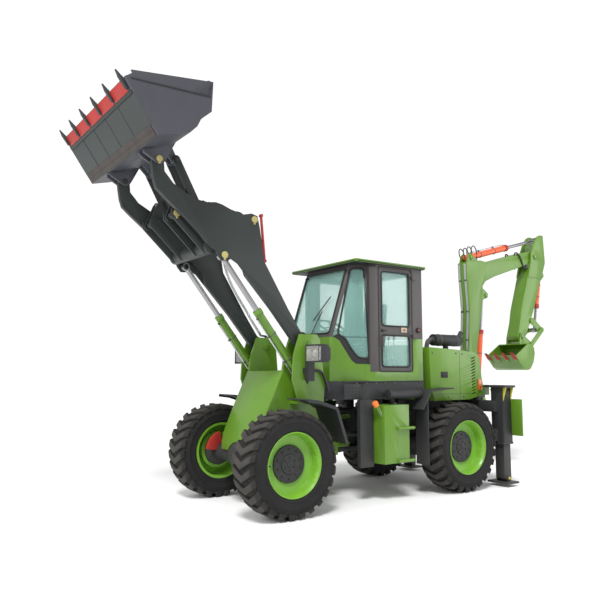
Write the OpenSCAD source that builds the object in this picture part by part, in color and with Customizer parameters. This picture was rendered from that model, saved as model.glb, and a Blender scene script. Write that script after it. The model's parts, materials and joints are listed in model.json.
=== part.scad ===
/* [Wheels] */
// Distance between the two axles
wheelbase = 2840; // [2400:10:3200]
// Distance between the middles of a pair of tyres
track = 1660; // [1500:10:1800]
// Outer radius of a tyre
tyre_r = 590; // [560:5:620]
// Width of a tyre
tyre_w = 420; // [360:5:440]
// Radius of the rim's flange
rim_r = 357; // [340:1:370]
// Depth of the tread
lug_h = 32; // [15:1:40]
// Number of tread bars round a tyre
tread_n = 26; // [20:1:30]
// Width of a tread bar along the ground
tread_w = 80; // [50:1:90]

/* [Chassis] */
// Height of the articulation's middle above the ground
hitch_z = 830; // [760:10:900]
// Radius of the articulation pin
hitch_r = 45; // [30:1:60]
// Half width of the front frame's nose
nose_half = 412; // [380:1:414]
// Outer face of the ear plates that carry the lifting arms
ear_y = 612; // [596:1:616]
// Half width of the rear frame
rail_half = 330; // [280:5:360]
// Thickness of the chassis plates
plate_t = 28; // [16:1:36]

/* [Cab] */
// Half width of the cab
cab_half = 680; // [620:5:690]
// Half width of the cab's nose
cab_nose = 450; // [400:5:460]
// Height of the cab's floor
cab_floor_z = 1480; // [1450:5:1520]
// Height of the window sill in front
cab_sill_z = 2040; // [1980:5:2080]
// Height of the underside of the roof
roof_z = 3000; // [2900:5:3100]
// Thickness of the cab's walls and doors
cab_wall = 40; // [25:1:50]
// Thickness of the window glass
glass_t = 6; // [4:1:8]

/* [Loader] */
// Middle of a lifting arm, left and right of the centre
arm_y = 505; // [495:1:508]
// Thickness of a lifting arm
arm_t = 60; // [40:1:64]
// Middle of a lift cylinder
lift_y = 470; // [468:1:474]
// Half width of the loader bucket
bucket_half = 1030; // [1000:5:1040]
// Number of teeth on the loader bucket
bucket_teeth = 6; // [4:1:8]
// Thickness of the loader bucket's plates
bucket_t = 22; // [14:1:30]
// Middle of a tilt cylinder and its bell crank
crank_y = 300; // [290:1:305]

/* [Backhoe] */
// Half width of the boom
boom_half = 90; // [70:1:94]
// Half width of the dipper
dipper_half = 112; // [108:1:114]
// Half width of the backhoe bucket
hoe_half = 298; // [260:2:300]
// Number of teeth on the backhoe bucket
hoe_teeth = 4; // [3:1:5]
// Thickness of the backhoe bucket's plates
hoe_t = 18; // [12:1:22]

/* [Stabilisers] */
// Middle of a stabiliser, left and right of the centre
stab_y = 930; // [900:5:940]
// Outer width of a stabiliser's sleeve
sleeve_w = 200; // [180:2:220]
// Running gap between the leg and its sleeve
sleeve_gap = 0.5; // [0.3:0.1:2]

/* [Hidden] */
$fn = 48;

// The modules work in a frame with its origin on the ground below the articulation pin:
// X forward, Y left, Z up. At the end everything is moved so that the origin is at the
// bottom centre of the whole machine.

// Running clearances
pin_gap = 0.3;
move_gap = 5;
big = 4000;

// Pins, as [x, z]
arm_pin = [930, 1930];
lift_base = [960, 1520];
lift_pin = [2065, 2910];
tilt_base = [1670, 3372];
crank_pin = [2600, 3340];
bucket_pin = [2885, 3860];
link_reach = [-280, 100];
link_pin = crank_pin + link_reach;
ear_pin = bucket_pin + link_reach;
crank_r = 260;
crank_a = 112;
tilt_pin = crank_pin + crank_r * [cos(crank_a), sin(crank_a)];
king_x = -2660;
boom_pin = [-2720, 1460];
boom_base = [-2850, 1160];
boom_eye = [-3060, 2850];
dipper_base = [-2720, 3450];
dipper_pin = [-4380, 3620];
dipper_eye = [-4560, 3950];
hoe_base = [-4655, 3320];
rocker_pin = [-4240, 2470];
hoe_pin = [-3920, 2200];
rocker_reach = [-230, -140];
rocker_eye = rocker_pin + rocker_reach;
hoe_ear = hoe_pin + rocker_reach;
steer_base = [-500, 400];
steer_pin = [400, 280];
steer_z = 800;

// Ends of the machine, which give the middle that the origin sits under
tooth_tip = [3578, 4575];
base_boss_r = 52;
rear_end_x = hoe_base[0] - base_boss_r;
mid_x = (tooth_tip[0] + rear_end_x) / 2;

// Colours as the finish of each kind of piece
green = [0.30, 0.55, 0.16];
dark = [0.20, 0.22, 0.22];
grey = [0.40, 0.38, 0.38];
black = [0.06, 0.06, 0.06];
orange = [0.90, 0.30, 0.12];
steel = [0.75, 0.76, 0.78];
slate = [0.30, 0.33, 0.34];
aqua = [0.55, 0.78, 0.72];

module placed() { translate([-mid_x, 0, 0]) children(); }

module both() {
    children();
    mirror([0, 1, 0]) children();
}

// A plate cut to a side outline of [x, z] points, from y = a to y = b
module side_plate(outline, a, b) {
    translate([0, b, 0]) rotate([90, 0, 0]) linear_extrude(b - a) polygon(outline);
}

// A round bar across the machine at p = [x, z], from y = a to y = b
module cross_bar(p, a, b, r) {
    translate([p[0], b, p[1]]) rotate([90, 0, 0]) cylinder(h = b - a, r = r);
}

// A round bar along the line from p to q at a given y, between distances s and e from p
module line_bar(p, q, y, s, e, r) {
    translate([p[0], y, p[1]]) rotate([0, atan2(q[0] - p[0], q[1] - p[1]), 0])
        translate([0, 0, s]) cylinder(h = e - s, r = r);
}

module block(x0, x1, y0, y1, z0, z1) {
    translate([x0, y0, z0]) cube([x1 - x0, y1 - y0, z1 - z0]);
}

function reach(p, q) = norm(q - p);

// Barrel of a cylinder that hangs on its base pin, with the bore that its rod runs in
module ram_barrel(base, eye, y, length, r, rod_r, eye_r, pin_r, half) {
    difference() {
        union() {
            line_bar(base, eye, y, eye_r * 0.6, length, r);
            line_bar(base, eye, y, length - 46, length, r * 1.08);
            cross_bar(base, y - half, y + half, eye_r);
        }
        cross_bar(base, y - half - 1, y + half + 1, pin_r + pin_gap);
        line_bar(base, eye, y, eye_r * 1.5, length + 1, rod_r + pin_gap);
    }
}

// Rod of the same cylinder, from inside its barrel to the eye
module ram_rod(base, eye, y, depth, rod_r, eye_r, pin_r, half) {
    difference() {
        union() {
            line_bar(base, eye, y, depth, reach(base, eye) - eye_r * 0.7, rod_r);
            cross_bar(eye, y - half, y + half, eye_r);
        }
        cross_bar(eye, y - half - 1, y + half + 1, pin_r + pin_gap);
    }
}

// Wheels
tyre_half = tyre_w / 2;
bead_half = tyre_half - 45;
bead_r = rim_r - 17;
carcass_r = tyre_r - lug_h;

tread_lead = 100;

// Half of the carcass, from the bead to the tread, as [radius, distance from the middle]
carcass_half = [
    [bead_r, bead_half], [rim_r + 3, bead_half], [rim_r + 12, tyre_half - 10],
    [(rim_r + tyre_r) / 2, tyre_half], [tyre_r - 62, tyre_half - 8], [carcass_r, tyre_half - 48]
];
// The same of the tread bars, which stand out of it
tread_half = [
    [carcass_r - 38, tyre_half - 30], [tyre_r - 55, tyre_half - 3], [tyre_r - 10, tyre_half - 24],
    [tyre_r, tyre_half - 52]
];

function mirror_back(side) = [for (i = [len(side) - 1 : -1 : 0]) [side[i][0], -side[i][1]]];

// One bar of the tread, a V right across the tyre whose point leads at the top
module tread_bar() {
    tip = -tread_lead / 2;
    end = tread_lead / 2;
    w = tread_w / 2;
    rotate([90, 0, 90]) translate([0, 0, carcass_r - 60]) linear_extrude(lug_h + 80) polygon([
        [tip - w, 0], [end - w, -tyre_half], [end + w, -tyre_half], [tip + w, 0],
        [end + w, tyre_half], [end - w, tyre_half]
    ]);
}

module tyre(side_x, side_y) {
    color(black) placed() translate([side_x * wheelbase / 2, side_y * track / 2, tyre_r])
        rotate([90, 0, 0]) {
            rotate_extrude() polygon(concat(carcass_half, mirror_back(carcass_half)));
            intersection() {
                rotate_extrude() polygon(concat(tread_half, mirror_back(tread_half)));
                for (i = [0 : tread_n - 1]) rotate([0, 0, i * 360 / tread_n]) tread_bar();
            }
        }
}

spindle_r = 60;
hub_r = 205;
hub_out = 84;
rim_half = bead_half + 16;

module rim(side_x, side_y) {
    color(green) placed() translate([side_x * wheelbase / 2, side_y * track / 2, tyre_r])
        rotate([side_y > 0 ? 90 : -90, 0, 0]) mirror([0, 0, 1]) rotate_extrude() polygon([
            [spindle_r + pin_gap, -70], [hub_r + 25, -70], [hub_r + 25, 0], [300, 22],
            [bead_r - 16, 22], [bead_r - 16, -rim_half], [rim_r, -rim_half],
            [rim_r, -bead_half], [bead_r, -bead_half], [bead_r, bead_half],
            [rim_r, bead_half], [rim_r, rim_half], [rim_r - 8, rim_half],
            [bead_r - 16, bead_half - 30], [bead_r - 22, 50], [hub_r + 10, 44], [hub_r, 50],
            [hub_r - 2, hub_out - 16], [110, hub_out - 12], [104, hub_out], [0, hub_out],
            [0, 60], [spindle_r + pin_gap, 60]
        ]);
}

// Axles: a tube with a bulged middle, flanges and the spindles that carry the wheels
module axle(side_x) {
    color(dark) placed() translate([side_x * wheelbase / 2, 0, tyre_r]) {
        rotate([90, 0, 0]) rotate_extrude() polygon([
            [0, -axle_half], [105, -axle_half], [112, -300], [185, -140], [205, 0], [185, 140],
            [112, 300], [105, axle_half], [0, axle_half]
        ]);
        both() translate([0, track / 2, 0]) rotate([90, 0, 0]) rotate_extrude() polygon([
            [0, -50], [spindle_r, -50], [spindle_r, 78], [190, 78], [190, 110], [120, 130],
            [120, hub_reach + 20], [0, hub_reach + 20]
        ]);
        block(-90, 60, -nose_half, nose_half, 90, axle_seat_z - tyre_r);
    }
}
axle_seat_z = 740;
// The axle's tube ends inside the carriers that stand this far in from the tyres' middles
hub_reach = 270;
axle_half = track / 2 - hub_reach;

// Rear chassis
rail_top = 1050;
rail_w = 70;
deck_z = 1250;
deck_top = cab_floor_z;
rear_wall_x = -2290;
lug_r = 165;
hitch_half = 250;
engine_z = rail_top - 60;
tank_in = 560;
hood_half = 700;
hood_wall = 24;
hitch_lo = [hitch_z - 270, hitch_z - 215];
hitch_hi = [hitch_z + 215, hitch_z + 270];

module rear_frame() {
    color(dark) placed() {
        block(-430, -250, -hitch_half, hitch_half, hitch_lo[0], rail_top + 50);
        block(-500, -430, -rail_half, rail_half, hitch_lo[0], rail_top + 50);
        for (x = [-1340, -2000])
            block(x, x + 100, -rail_half, rail_half, axle_seat_z + 60, engine_z);
        for (z = [hitch_lo[0], hitch_hi[0]]) {
            translate([0, 0, z]) cylinder(h = 55, r = lug_r);
            block(-300, 0, -lug_r, lug_r, z, z + 55);
        }
        translate([0, 0, hitch_lo[0] - 30]) cylinder(h = 600, r = hitch_r);
        both() {
            block(rear_wall_x + 190, -440, rail_half - rail_w, rail_half, axle_seat_z, rail_top);
            for (z = [640, 900]) block(-500, -370, rail_half - 1, tank_in, z, z + 60);
            for (x = [-1330, -2080]) {
                block(x, x + 50, rail_half - rail_w, rail_half, rail_top - 1, 1232);
                block(x, x + 50, rail_half - rail_w, hood_half - hood_wall, 1192, 1232);
                block(x, x + 50, hood_half - hood_wall - 26, hood_half - hood_wall, 1192, 1330);
            }
            for (x = [[-500, -430], [-940, -800]])
                block(x[0], x[1], rail_half - rail_w, rail_half, rail_top, deck_z);
            steer_lugs(steer_base, [steer_base[0] - 80, rail_half - 10], [160, 10]);
            translate([steer_base[0], steer_base[1], steer_z - 70]) cylinder(h = 140, r = steer_pin_r);
        }
    }
}

// The pair of lugs, one above the other, that holds one end of a steering cylinder
steer_pin_r = 22;
lug_gap = 44;
module steer_lugs(pin, foot, foot_size) {
    for (z = [steer_z - lug_gap - 20, steer_z + lug_gap]) hull() {
        translate([pin[0], pin[1], z]) cylinder(h = 20, r = 46, $fn = 32);
        translate([foot[0], foot[1], z]) cube([foot_size[0], foot_size[1], 20]);
    }
}

module engine_block() {
    color(grey) placed() block(-2000, -1240, -250, 250, engine_z, 1720);
}

// Cab: plan outlines at the sill and at the roof, as [front x, shoulder x]
cab_rear_x = -937;
cab_plan_low = [500, 20];
cab_plan_top = [175, -90];
pillar_b = [-133, 12];
door_x = [-742, -133];
door_z = [1600, 2975];
rail_mid_z = 2135;

module cab_plan(p, inset) {
    offset(delta = -inset) polygon([
        [p[0], -cab_nose], [p[0], cab_nose], [p[1], cab_half], [cab_rear_x, cab_half],
        [cab_rear_x, -cab_half], [p[1], -cab_half]
    ]);
}

// The cab's outer volume below and above the sill, drawn in by an inset
module cab_lower(inset, z0) {
    translate([0, 0, z0]) linear_extrude(cab_sill_z - z0) cab_plan(cab_plan_low, inset);
}
module cab_upper(inset) {
    hull() {
        translate([0, 0, cab_sill_z]) linear_extrude(1) cab_plan(cab_plan_low, inset);
        translate([0, 0, roof_z - 1]) linear_extrude(1) cab_plan(cab_plan_top, inset);
    }
}

module door_hole(gap) {
    both() block(door_x[0] + gap, door_x[1] - gap, cab_half - 150, cab_half + 150,
        door_z[0] + gap, door_z[1] - gap);
}

module window_holes() {
    block(-200, big, 20 - cab_nose, cab_nose - 20, cab_sill_z + 45, roof_z - 60);
    both() side_plate([
        [468, cab_sill_z + 10], [400, 1890], [290, 1775], [180, 1745], [pillar_b[1] + 20, 1735],
        [pillar_b[1] + 20, roof_z - 55], [162, roof_z - 55]
    ], 250, 900);
    block(cab_rear_x - 100, cab_rear_x + 100, -570, 570, 1960, roof_z - 60);
}

module cab_body() {
    color(green) placed() difference() {
        cab_lower(0, cab_floor_z);
        cab_lower(cab_wall, cab_floor_z + 30);
        door_hole(0);
        window_holes();
    }
}

module cab_frame() {
    color(grey) placed() {
        difference() {
            cab_upper(0);
            cab_upper(cab_wall);
            door_hole(0);
            window_holes();
        }
        both() for (z = hinge_z) {
            translate([door_x[0], hinge_y, z - 40]) cylinder(h = 40 - pin_gap, r = hinge_r);
            block(door_x[0] - 60, door_x[0], cab_half, hinge_y + 5, z - 40, z - pin_gap);
            translate([door_x[0], hinge_y, z - 40]) cylinder(h = 80, r = hinge_pin_r);
        }
    }
}

// Door hinges: the pin stands on the frame's knuckle and runs in the door's
hinge_y = cab_half + 20;
hinge_r = 14;
hinge_pin_r = 8;
hinge_z = [2090, 2880];

module door_hinges() {
    for (z = hinge_z) difference() {
        union() {
            translate([door_x[0], hinge_y, z]) cylinder(h = 40, r = hinge_r);
            block(door_x[0], door_x[0] + 80, cab_half, hinge_y - 6, z, z + 40);
        }
        translate([door_x[0], hinge_y, z - 1]) cylinder(h = 42, r = hinge_pin_r + pin_gap);
    }
}

eave_x = [-985, 270];
eave_y = 715;

module cab_roof() {
    color(green) placed() hull() {
        block(eave_x[0], eave_x[1], -eave_y, eave_y, roof_z, roof_z + 36);
        translate([0, 0, roof_z + 95]) linear_extrude(2)
            polygon([[-60, -260], [-60, 260], [-700, 260], [-700, -260]]);
    }
}

// Fixed panes, which sit in the middle of the wall, in two rows with a seal between them
pane_in = (cab_wall - glass_t) / 2;
seal_half = 4;

module cab_glass() {
    color(aqua, 0.4) placed() {
        intersection() {
            difference() {
                cab_upper(pane_in);
                cab_upper(pane_in + glass_t);
            }
            window_holes();
            block(-big, big, -big, big, cab_sill_z + seal_half, big);
        }
        intersection() {
            difference() {
                cab_lower(pane_in, cab_floor_z);
                cab_lower(pane_in + glass_t, cab_floor_z);
            }
            window_holes();
            block(-big, big, -big, big, cab_floor_z, cab_sill_z - seal_half);
        }
    }
}

door_rail = 55;

module door(side) {
    color(grey) placed() mirror([0, side < 0 ? 1 : 0, 0]) difference() {
        union() {
            door_hinges();
            block(door_x[0] + move_gap, door_x[1] - move_gap, cab_half - cab_wall, cab_half,
                door_z[0] + move_gap, door_z[1] - move_gap);
            block(door_x[1] - 70, door_x[1] - 40, cab_half - 1, cab_half + 34, 1930, 2060);
        }
        door_windows();
    }
}

module door_windows() {
    for (z = [[door_z[0] + 62, rail_mid_z - 60], [rail_mid_z + 60, door_z[1] - 60]])
        block(door_x[0] + door_rail, door_x[1] - door_rail, cab_half - 80, cab_half + 20, z[0], z[1]);
}

module door_glass(side) {
    color(aqua, 0.4) placed() mirror([0, side < 0 ? 1 : 0, 0]) intersection() {
        door_windows();
        block(door_x[0], door_x[1], cab_half - 23, cab_half - 23 + glass_t, door_z[0], door_z[1]);
    }
}

module operator_seat() {
    color(dark) placed() {
        block(-610, -250, -170, 170, cab_floor_z + 30, 1870);
        block(-680, -200, -240, 240, 1870, 1990);
        side_plate([[-700, 1940], [-590, 1990], [-640, 2560], [-720, 2560]], -230, 230);
    }
}

module steering_console() {
    color(black) placed() {
        side_plate([[130, cab_floor_z + 30], [300, cab_floor_z + 30], [270, 2010], [150, 2010]], -90, 90);
        line_bar([215, 1980], [105, 2200], 0, 0, 250, 28);
        translate([105, 0, 2200]) rotate([0, -27, 0]) rotate_extrude()
            translate([185, 0]) circle(r = 15, $fn = 16);
        translate([105, 0, 2200]) rotate([0, -27, 0]) for (a = [30, 150, 270])
            rotate([0, 0, a]) translate([0, -12, -8]) cube([178, 24, 16]);
    }
}

// Hood over the engine, open below
hood_side = [
    [-1039, 1936], [-1594, 1912], [-1990, 1878], [-2062, 1845], [-2092, 1800], [-2107, 1685],
    [-2122, 1543], [-2150, 1417], [-2158, 1276], [-1985, 1230], [-1842, 1206], [-1126, 1202],
    [-1058, 1401]
];
// The same with the hood's wall taken off, and open below
hood_inside = [
    [-1064, 1911], [-1594, 1888], [-1984, 1854], [-2046, 1826], [-2069, 1790], [-2083, 1685],
    [-2098, 1543], [-2126, 1417], [-2134, 1100], [-1150, 1100], [-1082, 1401]
];
louvre_n = 13;
louvre_x = [-1990, -1905];
louvre_z = 1268;
louvre_pitch = 42;
louvre_t = 17;
louvre_rise = 32;

module engine_hood() {
    color(green) placed() difference() {
        union() {
            side_plate(hood_side, -hood_half, hood_half);
            both() block(rear_wall_x, -2130, 600, hood_half, 1262, 1408);
        }
        side_plate(hood_inside, hood_wall - hood_half, hood_half - hood_wall);
        translate([stack[0], stack[1], 1700]) cylinder(h = 400, r = stack_r + pin_gap);
        both() for (i = [0 : louvre_n - 1]) {
            z = louvre_z + i * louvre_pitch;
            side_plate([
                [louvre_x[1], z], [louvre_x[0], z + louvre_rise],
                [louvre_x[0], z + louvre_rise + louvre_t], [louvre_x[1], z + louvre_t]
            ], hood_half - hood_wall - 1, hood_half + 1);
        }
    }
}

// Muffler lying on the hood, on its pipe
stack = [-1760, 350];
stack_r = 40;
muffler_x = [-2050, -1490];
muffler_z = 2060;

module exhaust_muffler() {
    color(black) placed() {
        translate([muffler_x[0], stack[1], muffler_z]) rotate([0, 90, 0])
            cylinder(h = muffler_x[1] - muffler_x[0], r = 85);
        translate([stack[0], stack[1], 1850]) cylinder(h = muffler_z - 1850, r = stack_r);
        line_bar([muffler_x[0] + 30, muffler_z], [muffler_x[0] - 60, muffler_z + 130], stack[1], 0, 160, 34);
    }
}

// Tanks hung on both sides between the wheels
tank_y = 920;
tank_plan = [[10, tank_y], [-411, tank_y], [-411, tank_in], [40, tank_in], [40, 644]];
tank_z = [470, 1185];
step_y = 950;
step_r = 20;
neck_foot = [-10, 1040];
neck_top = [92, 1190];
neck_y = 858;

module side_tanks() {
    color(green) placed() both() {
        translate([0, 0, tank_z[0]]) linear_extrude(tank_z[1] - tank_z[0]) polygon(tank_plan);
        line_bar(neck_foot, neck_top, neck_y, 0, 181, 28);
        for (z = [495, 895]) {
            translate([-470, step_y, z]) rotate([0, 90, 0]) cylinder(h = 280, r = step_r);
            for (x = [-390, -215]) cross_bar([x, z], tank_y - 1, step_y, step_r - 4);
        }
    }
}

module side_decks() {
    color(dark) placed() {
        translate([0, 0, deck_z]) linear_extrude(deck_top - deck_z) polygon([
            [600, -330], [600, 330], [450, 505], [100, deck_half], [-950, deck_half],
            [-950, -deck_half], [100, -deck_half], [450, -505]
        ]);
        both() {
            translate([air_x[0], air_y, air_z]) rotate([0, 90, 0])
                cylinder(h = air_x[1] - air_x[0], r = air_r);
            for (x = [air_x[0], air_x[1] - 24]) translate([x, air_y, air_z]) rotate([0, 90, 0])
                cylinder(h = 24, r = air_r + 10);
            for (x = [air_x[0] + 80, air_x[1] - 100]) block(x, x + 40, deck_half - 12, air_y, 1290, 1330);
            translate([0, 0, box_z]) linear_extrude(deck_z + 1 - box_z) polygon(box_plan);
            block(rear_x + 490, rear_x + 530, deck_half - 12, fender_in, 1335, 1375);
            for (x = [-400, -60])
                block(x, x + 60, deck_half - 50, deck_half - 2, tank_z[1], deck_z + 1);
        }
    }
}
deck_half = 672;
// Battery boxes below the deck's front corners, clear of the front chassis at full steering
box_plan = [[50, 590], [130, 625], [265, 700], [265, 760], [50, 760]];
box_z = 430;
// Air reservoirs along the deck
air_z = 1310;
air_r = 55;

// Bent plates over the rear wheels with a wall ahead of each, on brackets at the deck's end
rear_x = -wheelbase / 2;
fender_in = deck_half + 36;
fender_out = fender_in + 222;
fender_wall_x = rear_x + 675;
air_x = [fender_wall_x + 5, -180];
air_y = deck_half + 108;
fender_t = 16;

module rear_fenders() {
    color(dark) placed() both() {
        side_plate([
            [rear_x + 760, 1115], [rear_x + 600, 1356], [rear_x + 155, 1385],
            [rear_x + 156, 1369], [rear_x + 591, 1340], [rear_x + 747, 1106]
        ], fender_in, fender_out);
        side_plate([
            [fender_wall_x, 400], [fender_wall_x - fender_t, 400],
            [fender_wall_x - fender_t, 1256], [fender_wall_x, 1234]
        ], fender_in, fender_out);
    }
}

// Backhoe frame with the sleeves of the stabilisers and the lugs of the swing pin
sleeve_z = [580, 1376];
sleeve_x = -2255;
king_r = 45;
king_lug_r = 85;
king_z = [690, 1290];

// Lugs under the rear crossbar, each with an eye along X for tying the machine down
tie_r = 20;
tie_t = 25;
tie_y = 600;
tie_z = 575;

module backhoe_frame() {
    color(dark) placed() difference() {
        union() {
            both() block(sleeve_x - sleeve_w / 2, sleeve_x + sleeve_w / 2, stab_y - sleeve_w / 2,
                stab_y + sleeve_w / 2, sleeve_z[0], sleeve_z[1]);
            both() block(sleeve_x - 120, sleeve_x + 130, stab_y - 210, stab_y + 160, sleeve_z[1],
                sleeve_z[1] + 30);
            both() side_plate([
                [sleeve_x - 75, sleeve_z[1]], [sleeve_x - 75, sleeve_z[0] + 40],
                [sleeve_x + 85, sleeve_z[0] + 40], [sleeve_x + 85, sleeve_z[1]]
            ], stab_y + sleeve_w / 2 - 1, stab_y + sleeve_w / 2 + 6);
            block(rear_wall_x, rear_wall_x + 190, -stab_y, stab_y, 1030, 1185);
            block(rear_wall_x, rear_wall_x + 190, -stab_y, stab_y, 620, 790);
            block(rear_wall_x, rear_wall_x + 40, -500, 500, 700, 1300);
            for (z = [king_z[0], king_z[1] - 80]) {
                translate([king_x, 0, z]) cylinder(h = 80, r = king_lug_r);
                block(king_x, rear_wall_x + 20, -king_lug_r, king_lug_r, z, z + 80);
            }
            translate([king_x, 0, king_z[0] - 20]) cylinder(h = king_z[1] - king_z[0] + 30, r = king_r);
            both() block(rear_wall_x, rear_wall_x + tie_t, tie_y - 2 * tie_r, tie_y + 2 * tie_r,
                tie_z - 2 * tie_r, 640);
        }
        both() translate([rear_wall_x - 1, tie_y, tie_z]) rotate([0, 90, 0])
            cylinder(h = tie_t + 2, r = tie_r);
        both() block(leg_x[0] - sleeve_gap, leg_x[1] + sleeve_gap, leg_y[0] - sleeve_gap,
            leg_y[1] + sleeve_gap, 0, sleeve_z[1] - 14);
    }
}

leg_w = sleeve_w - 50;
leg_x = [sleeve_x - leg_w / 2, sleeve_x + leg_w / 2];
leg_y = [stab_y - leg_w / 2, stab_y + leg_w / 2];
leg_top = sleeve_z[1] - 190;
foot_z = 40;
foot_t = 25;
foot_pivot_z = 108;

module stabiliser(side) {
    color(dark) placed() mirror([0, side < 0 ? 1 : 0, 0]) {
        block(leg_x[0], leg_x[1], leg_y[0], leg_y[1], foot_pivot_z, leg_top);
        block(sleeve_x - 120, sleeve_x + 130, stab_y - 185, stab_y + 170, foot_z, foot_z + foot_t);
        cross_bar([sleeve_x, foot_pivot_z], leg_y[0] - 20, leg_y[1] + 20, 46);
    }
}

// Upright boards beside the sleeves, flush with their rear faces
board_t = 20;
board_w = 182;
board_z = [700, 1212];

module rear_boards() {
    color(green) placed() both() block(sleeve_x - sleeve_w / 2, sleeve_x - sleeve_w / 2 + board_t,
        stab_y + sleeve_w / 2, stab_y + sleeve_w / 2 + board_w, board_z[0], board_z[1]);
}

module rear_lamps() {
    color(orange) placed() both() {
        block(-2102, -2024, hood_half, hood_half + 25, 1335, 1490);
    }
}

// Front chassis
ear_in = ear_y - plate_t;
ear_side = [
    [1073, 2047], [816, 2051], [770, 1980], [735, 1700], [701, 1426], [720, 1219],
    [1082, 1219], [1174, 1507], [1156, 1800]
];
nose_side = [
    [340, 1000], [760, 1180], [780, 1620], [1180, 1610], [1410, 1121], [1533, 828],
    [1549, 720], [1549, 640], [1515, 640], [1500, axle_seat_z], [1180, axle_seat_z],
    [1080, 600], [340, 560]
];
axle_clear = 8;
arm_wall_side = [
    [1060, 2047], [816, 2051], [770, 1980], [735, 1600], [1180, 1600], [1150, 1800]
];

module front_frame() {
    color(green) placed() {
        difference() {
            union() {
                difference() {
                    side_plate(nose_side, -nose_half, nose_half);
                    side_plate([
                        [230, 500], [230, 955], [800, 1130], [830, 1575], [1150, 1565],
                        [1370, 1121], [1485, 828], [1500, 720], [1500, 500]
                    ], 40 - nose_half, nose_half - 40);
                    translate([wheelbase / 2, 0, tyre_r]) rotate([90, 0, 0]) rotate_extrude()
                        polygon([
                            [0, -big], [112 + axle_clear, -big], [112 + axle_clear, -300],
                            [185 + axle_clear, -140], [205 + axle_clear, 0],
                            [185 + axle_clear, 140], [112 + axle_clear, 300],
                            [112 + axle_clear, big], [0, big]
                        ]);
                }
                block(bulkhead_x, bulkhead_x + 40, -nose_half, nose_half, 570, 1020);
                for (z = [hitch_lo[1] + move_gap, hitch_hi[0] - move_gap - 55]) {
                    translate([0, 0, z]) cylinder(h = 55, r = lug_r);
                    block(0, bulkhead_x + 20, -lug_r, lug_r, z, z + 55);
                }
                both() {
                    side_plate(ear_side, ear_in, ear_y);
                    side_plate(arm_wall_side, nose_half - 40, nose_half);
                    block(720, 1082, nose_half - 1, ear_y, 1219, 1219 + plate_t);
                    block(735, 760, nose_half - 1, ear_y, 1219, 1460);
                    cross_bar(arm_pin, nose_half - 60, ear_y + 22, 38);
                    cross_bar(lift_base, nose_half - 10, ear_y + 12, 30);
                }
            }
            translate([0, 0, 400]) cylinder(h = 900, r = hitch_r + pin_gap);
        }
        both() steer_lugs(steer_pin, [bulkhead_x, steer_pin[1] - 70], [30, 150]);
    }
}
bulkhead_x = 500;

// Front fenders: a bent plate with a lip round its outer edge, on a bracket at the ear
front_fender_out = [[1258, 1299], [1096, 1278], [838, 1196], [685, 780]];
front_fender_in = [[700, 775], [850, 1185], [1100, 1262], [1260, 1283]];
front_fender_lip = [[721, 768], [867, 1167], [1106, 1241], [1262, 1261]];
front_fender_y = [ear_y + 4, track / 2 + tyre_half];

module front_fenders() {
    color(black) placed() both() {
        side_plate(concat(front_fender_out, front_fender_in), front_fender_y[0], front_fender_y[1]);
        side_plate(concat(front_fender_out, front_fender_lip), front_fender_y[1] - 12,
            front_fender_y[1]);
        block(900, 960, ear_y, front_fender_y[0] + 24, 1222, 1252);
    }
}

// Headlamps: a housing open in front for its lens, on a post at the ear
lamp_side = [
    [1040, 1708], [1040, 1919], [945, 1912], [910, 1870], [910, 1745], [940, 1712]
];
lamp_y = [676, 998];
lamp_rim = 16;

module headlamps() {
    color(black) placed() both() {
        difference() {
            side_plate(lamp_side, lamp_y[0], lamp_y[1]);
            block(1028, 1041, lamp_y[0] + lamp_rim, lamp_y[1] - lamp_rim, 1708 + lamp_rim, 1919 - lamp_rim);
        }
        block(950, 1030, 660, 740, 1490, 1713);
        block(950, 1030, ear_y, 661, 1575, 1645);
    }
}

// Steering cylinders lie level, so they are drawn in plan
steer_l = norm(steer_pin - steer_base);
steer_a = atan2(steer_pin[1] - steer_base[1], steer_pin[0] - steer_base[0]);
steer_barrel_l = 640;
steer_barrel_r = 34;
// The rod reaches back to this far from the barrel's pin, clear of the frame when it is drawn in
steer_rod_start = 405;

module steer_line(side) {
    placed() mirror([0, side < 0 ? 1 : 0, 0]) translate([steer_base[0], steer_base[1], steer_z])
        rotate([0, 0, steer_a]) children();
}

module steer_barrel(side) {
    color(black) steer_line(side) difference() {
        union() {
            translate([30, 0, 0]) rotate([0, 90, 0]) cylinder(h = steer_barrel_l - 30, r = steer_barrel_r);
            translate([0, 0, -lug_gap + 4]) cylinder(h = 2 * lug_gap - 8, r = 42);
        }
        translate([0, 0, -lug_gap]) cylinder(h = 2 * lug_gap, r = steer_pin_r + pin_gap);
        translate([60, 0, 0]) rotate([0, 90, 0]) cylinder(h = steer_barrel_l, r = 20 + pin_gap);
    }
}

module steer_rod(side) {
    color(steel) steer_line(side) difference() {
        union() {
            translate([steer_rod_start, 0, 0]) rotate([0, 90, 0])
                cylinder(h = steer_l - steer_rod_start - 30, r = 20);
            translate([steer_l, 0, -28]) cylinder(h = 56, r = 40);
        }
        translate([steer_l, 0, -30]) cylinder(h = 60, r = steer_pin_r + pin_gap);
    }
}

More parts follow.
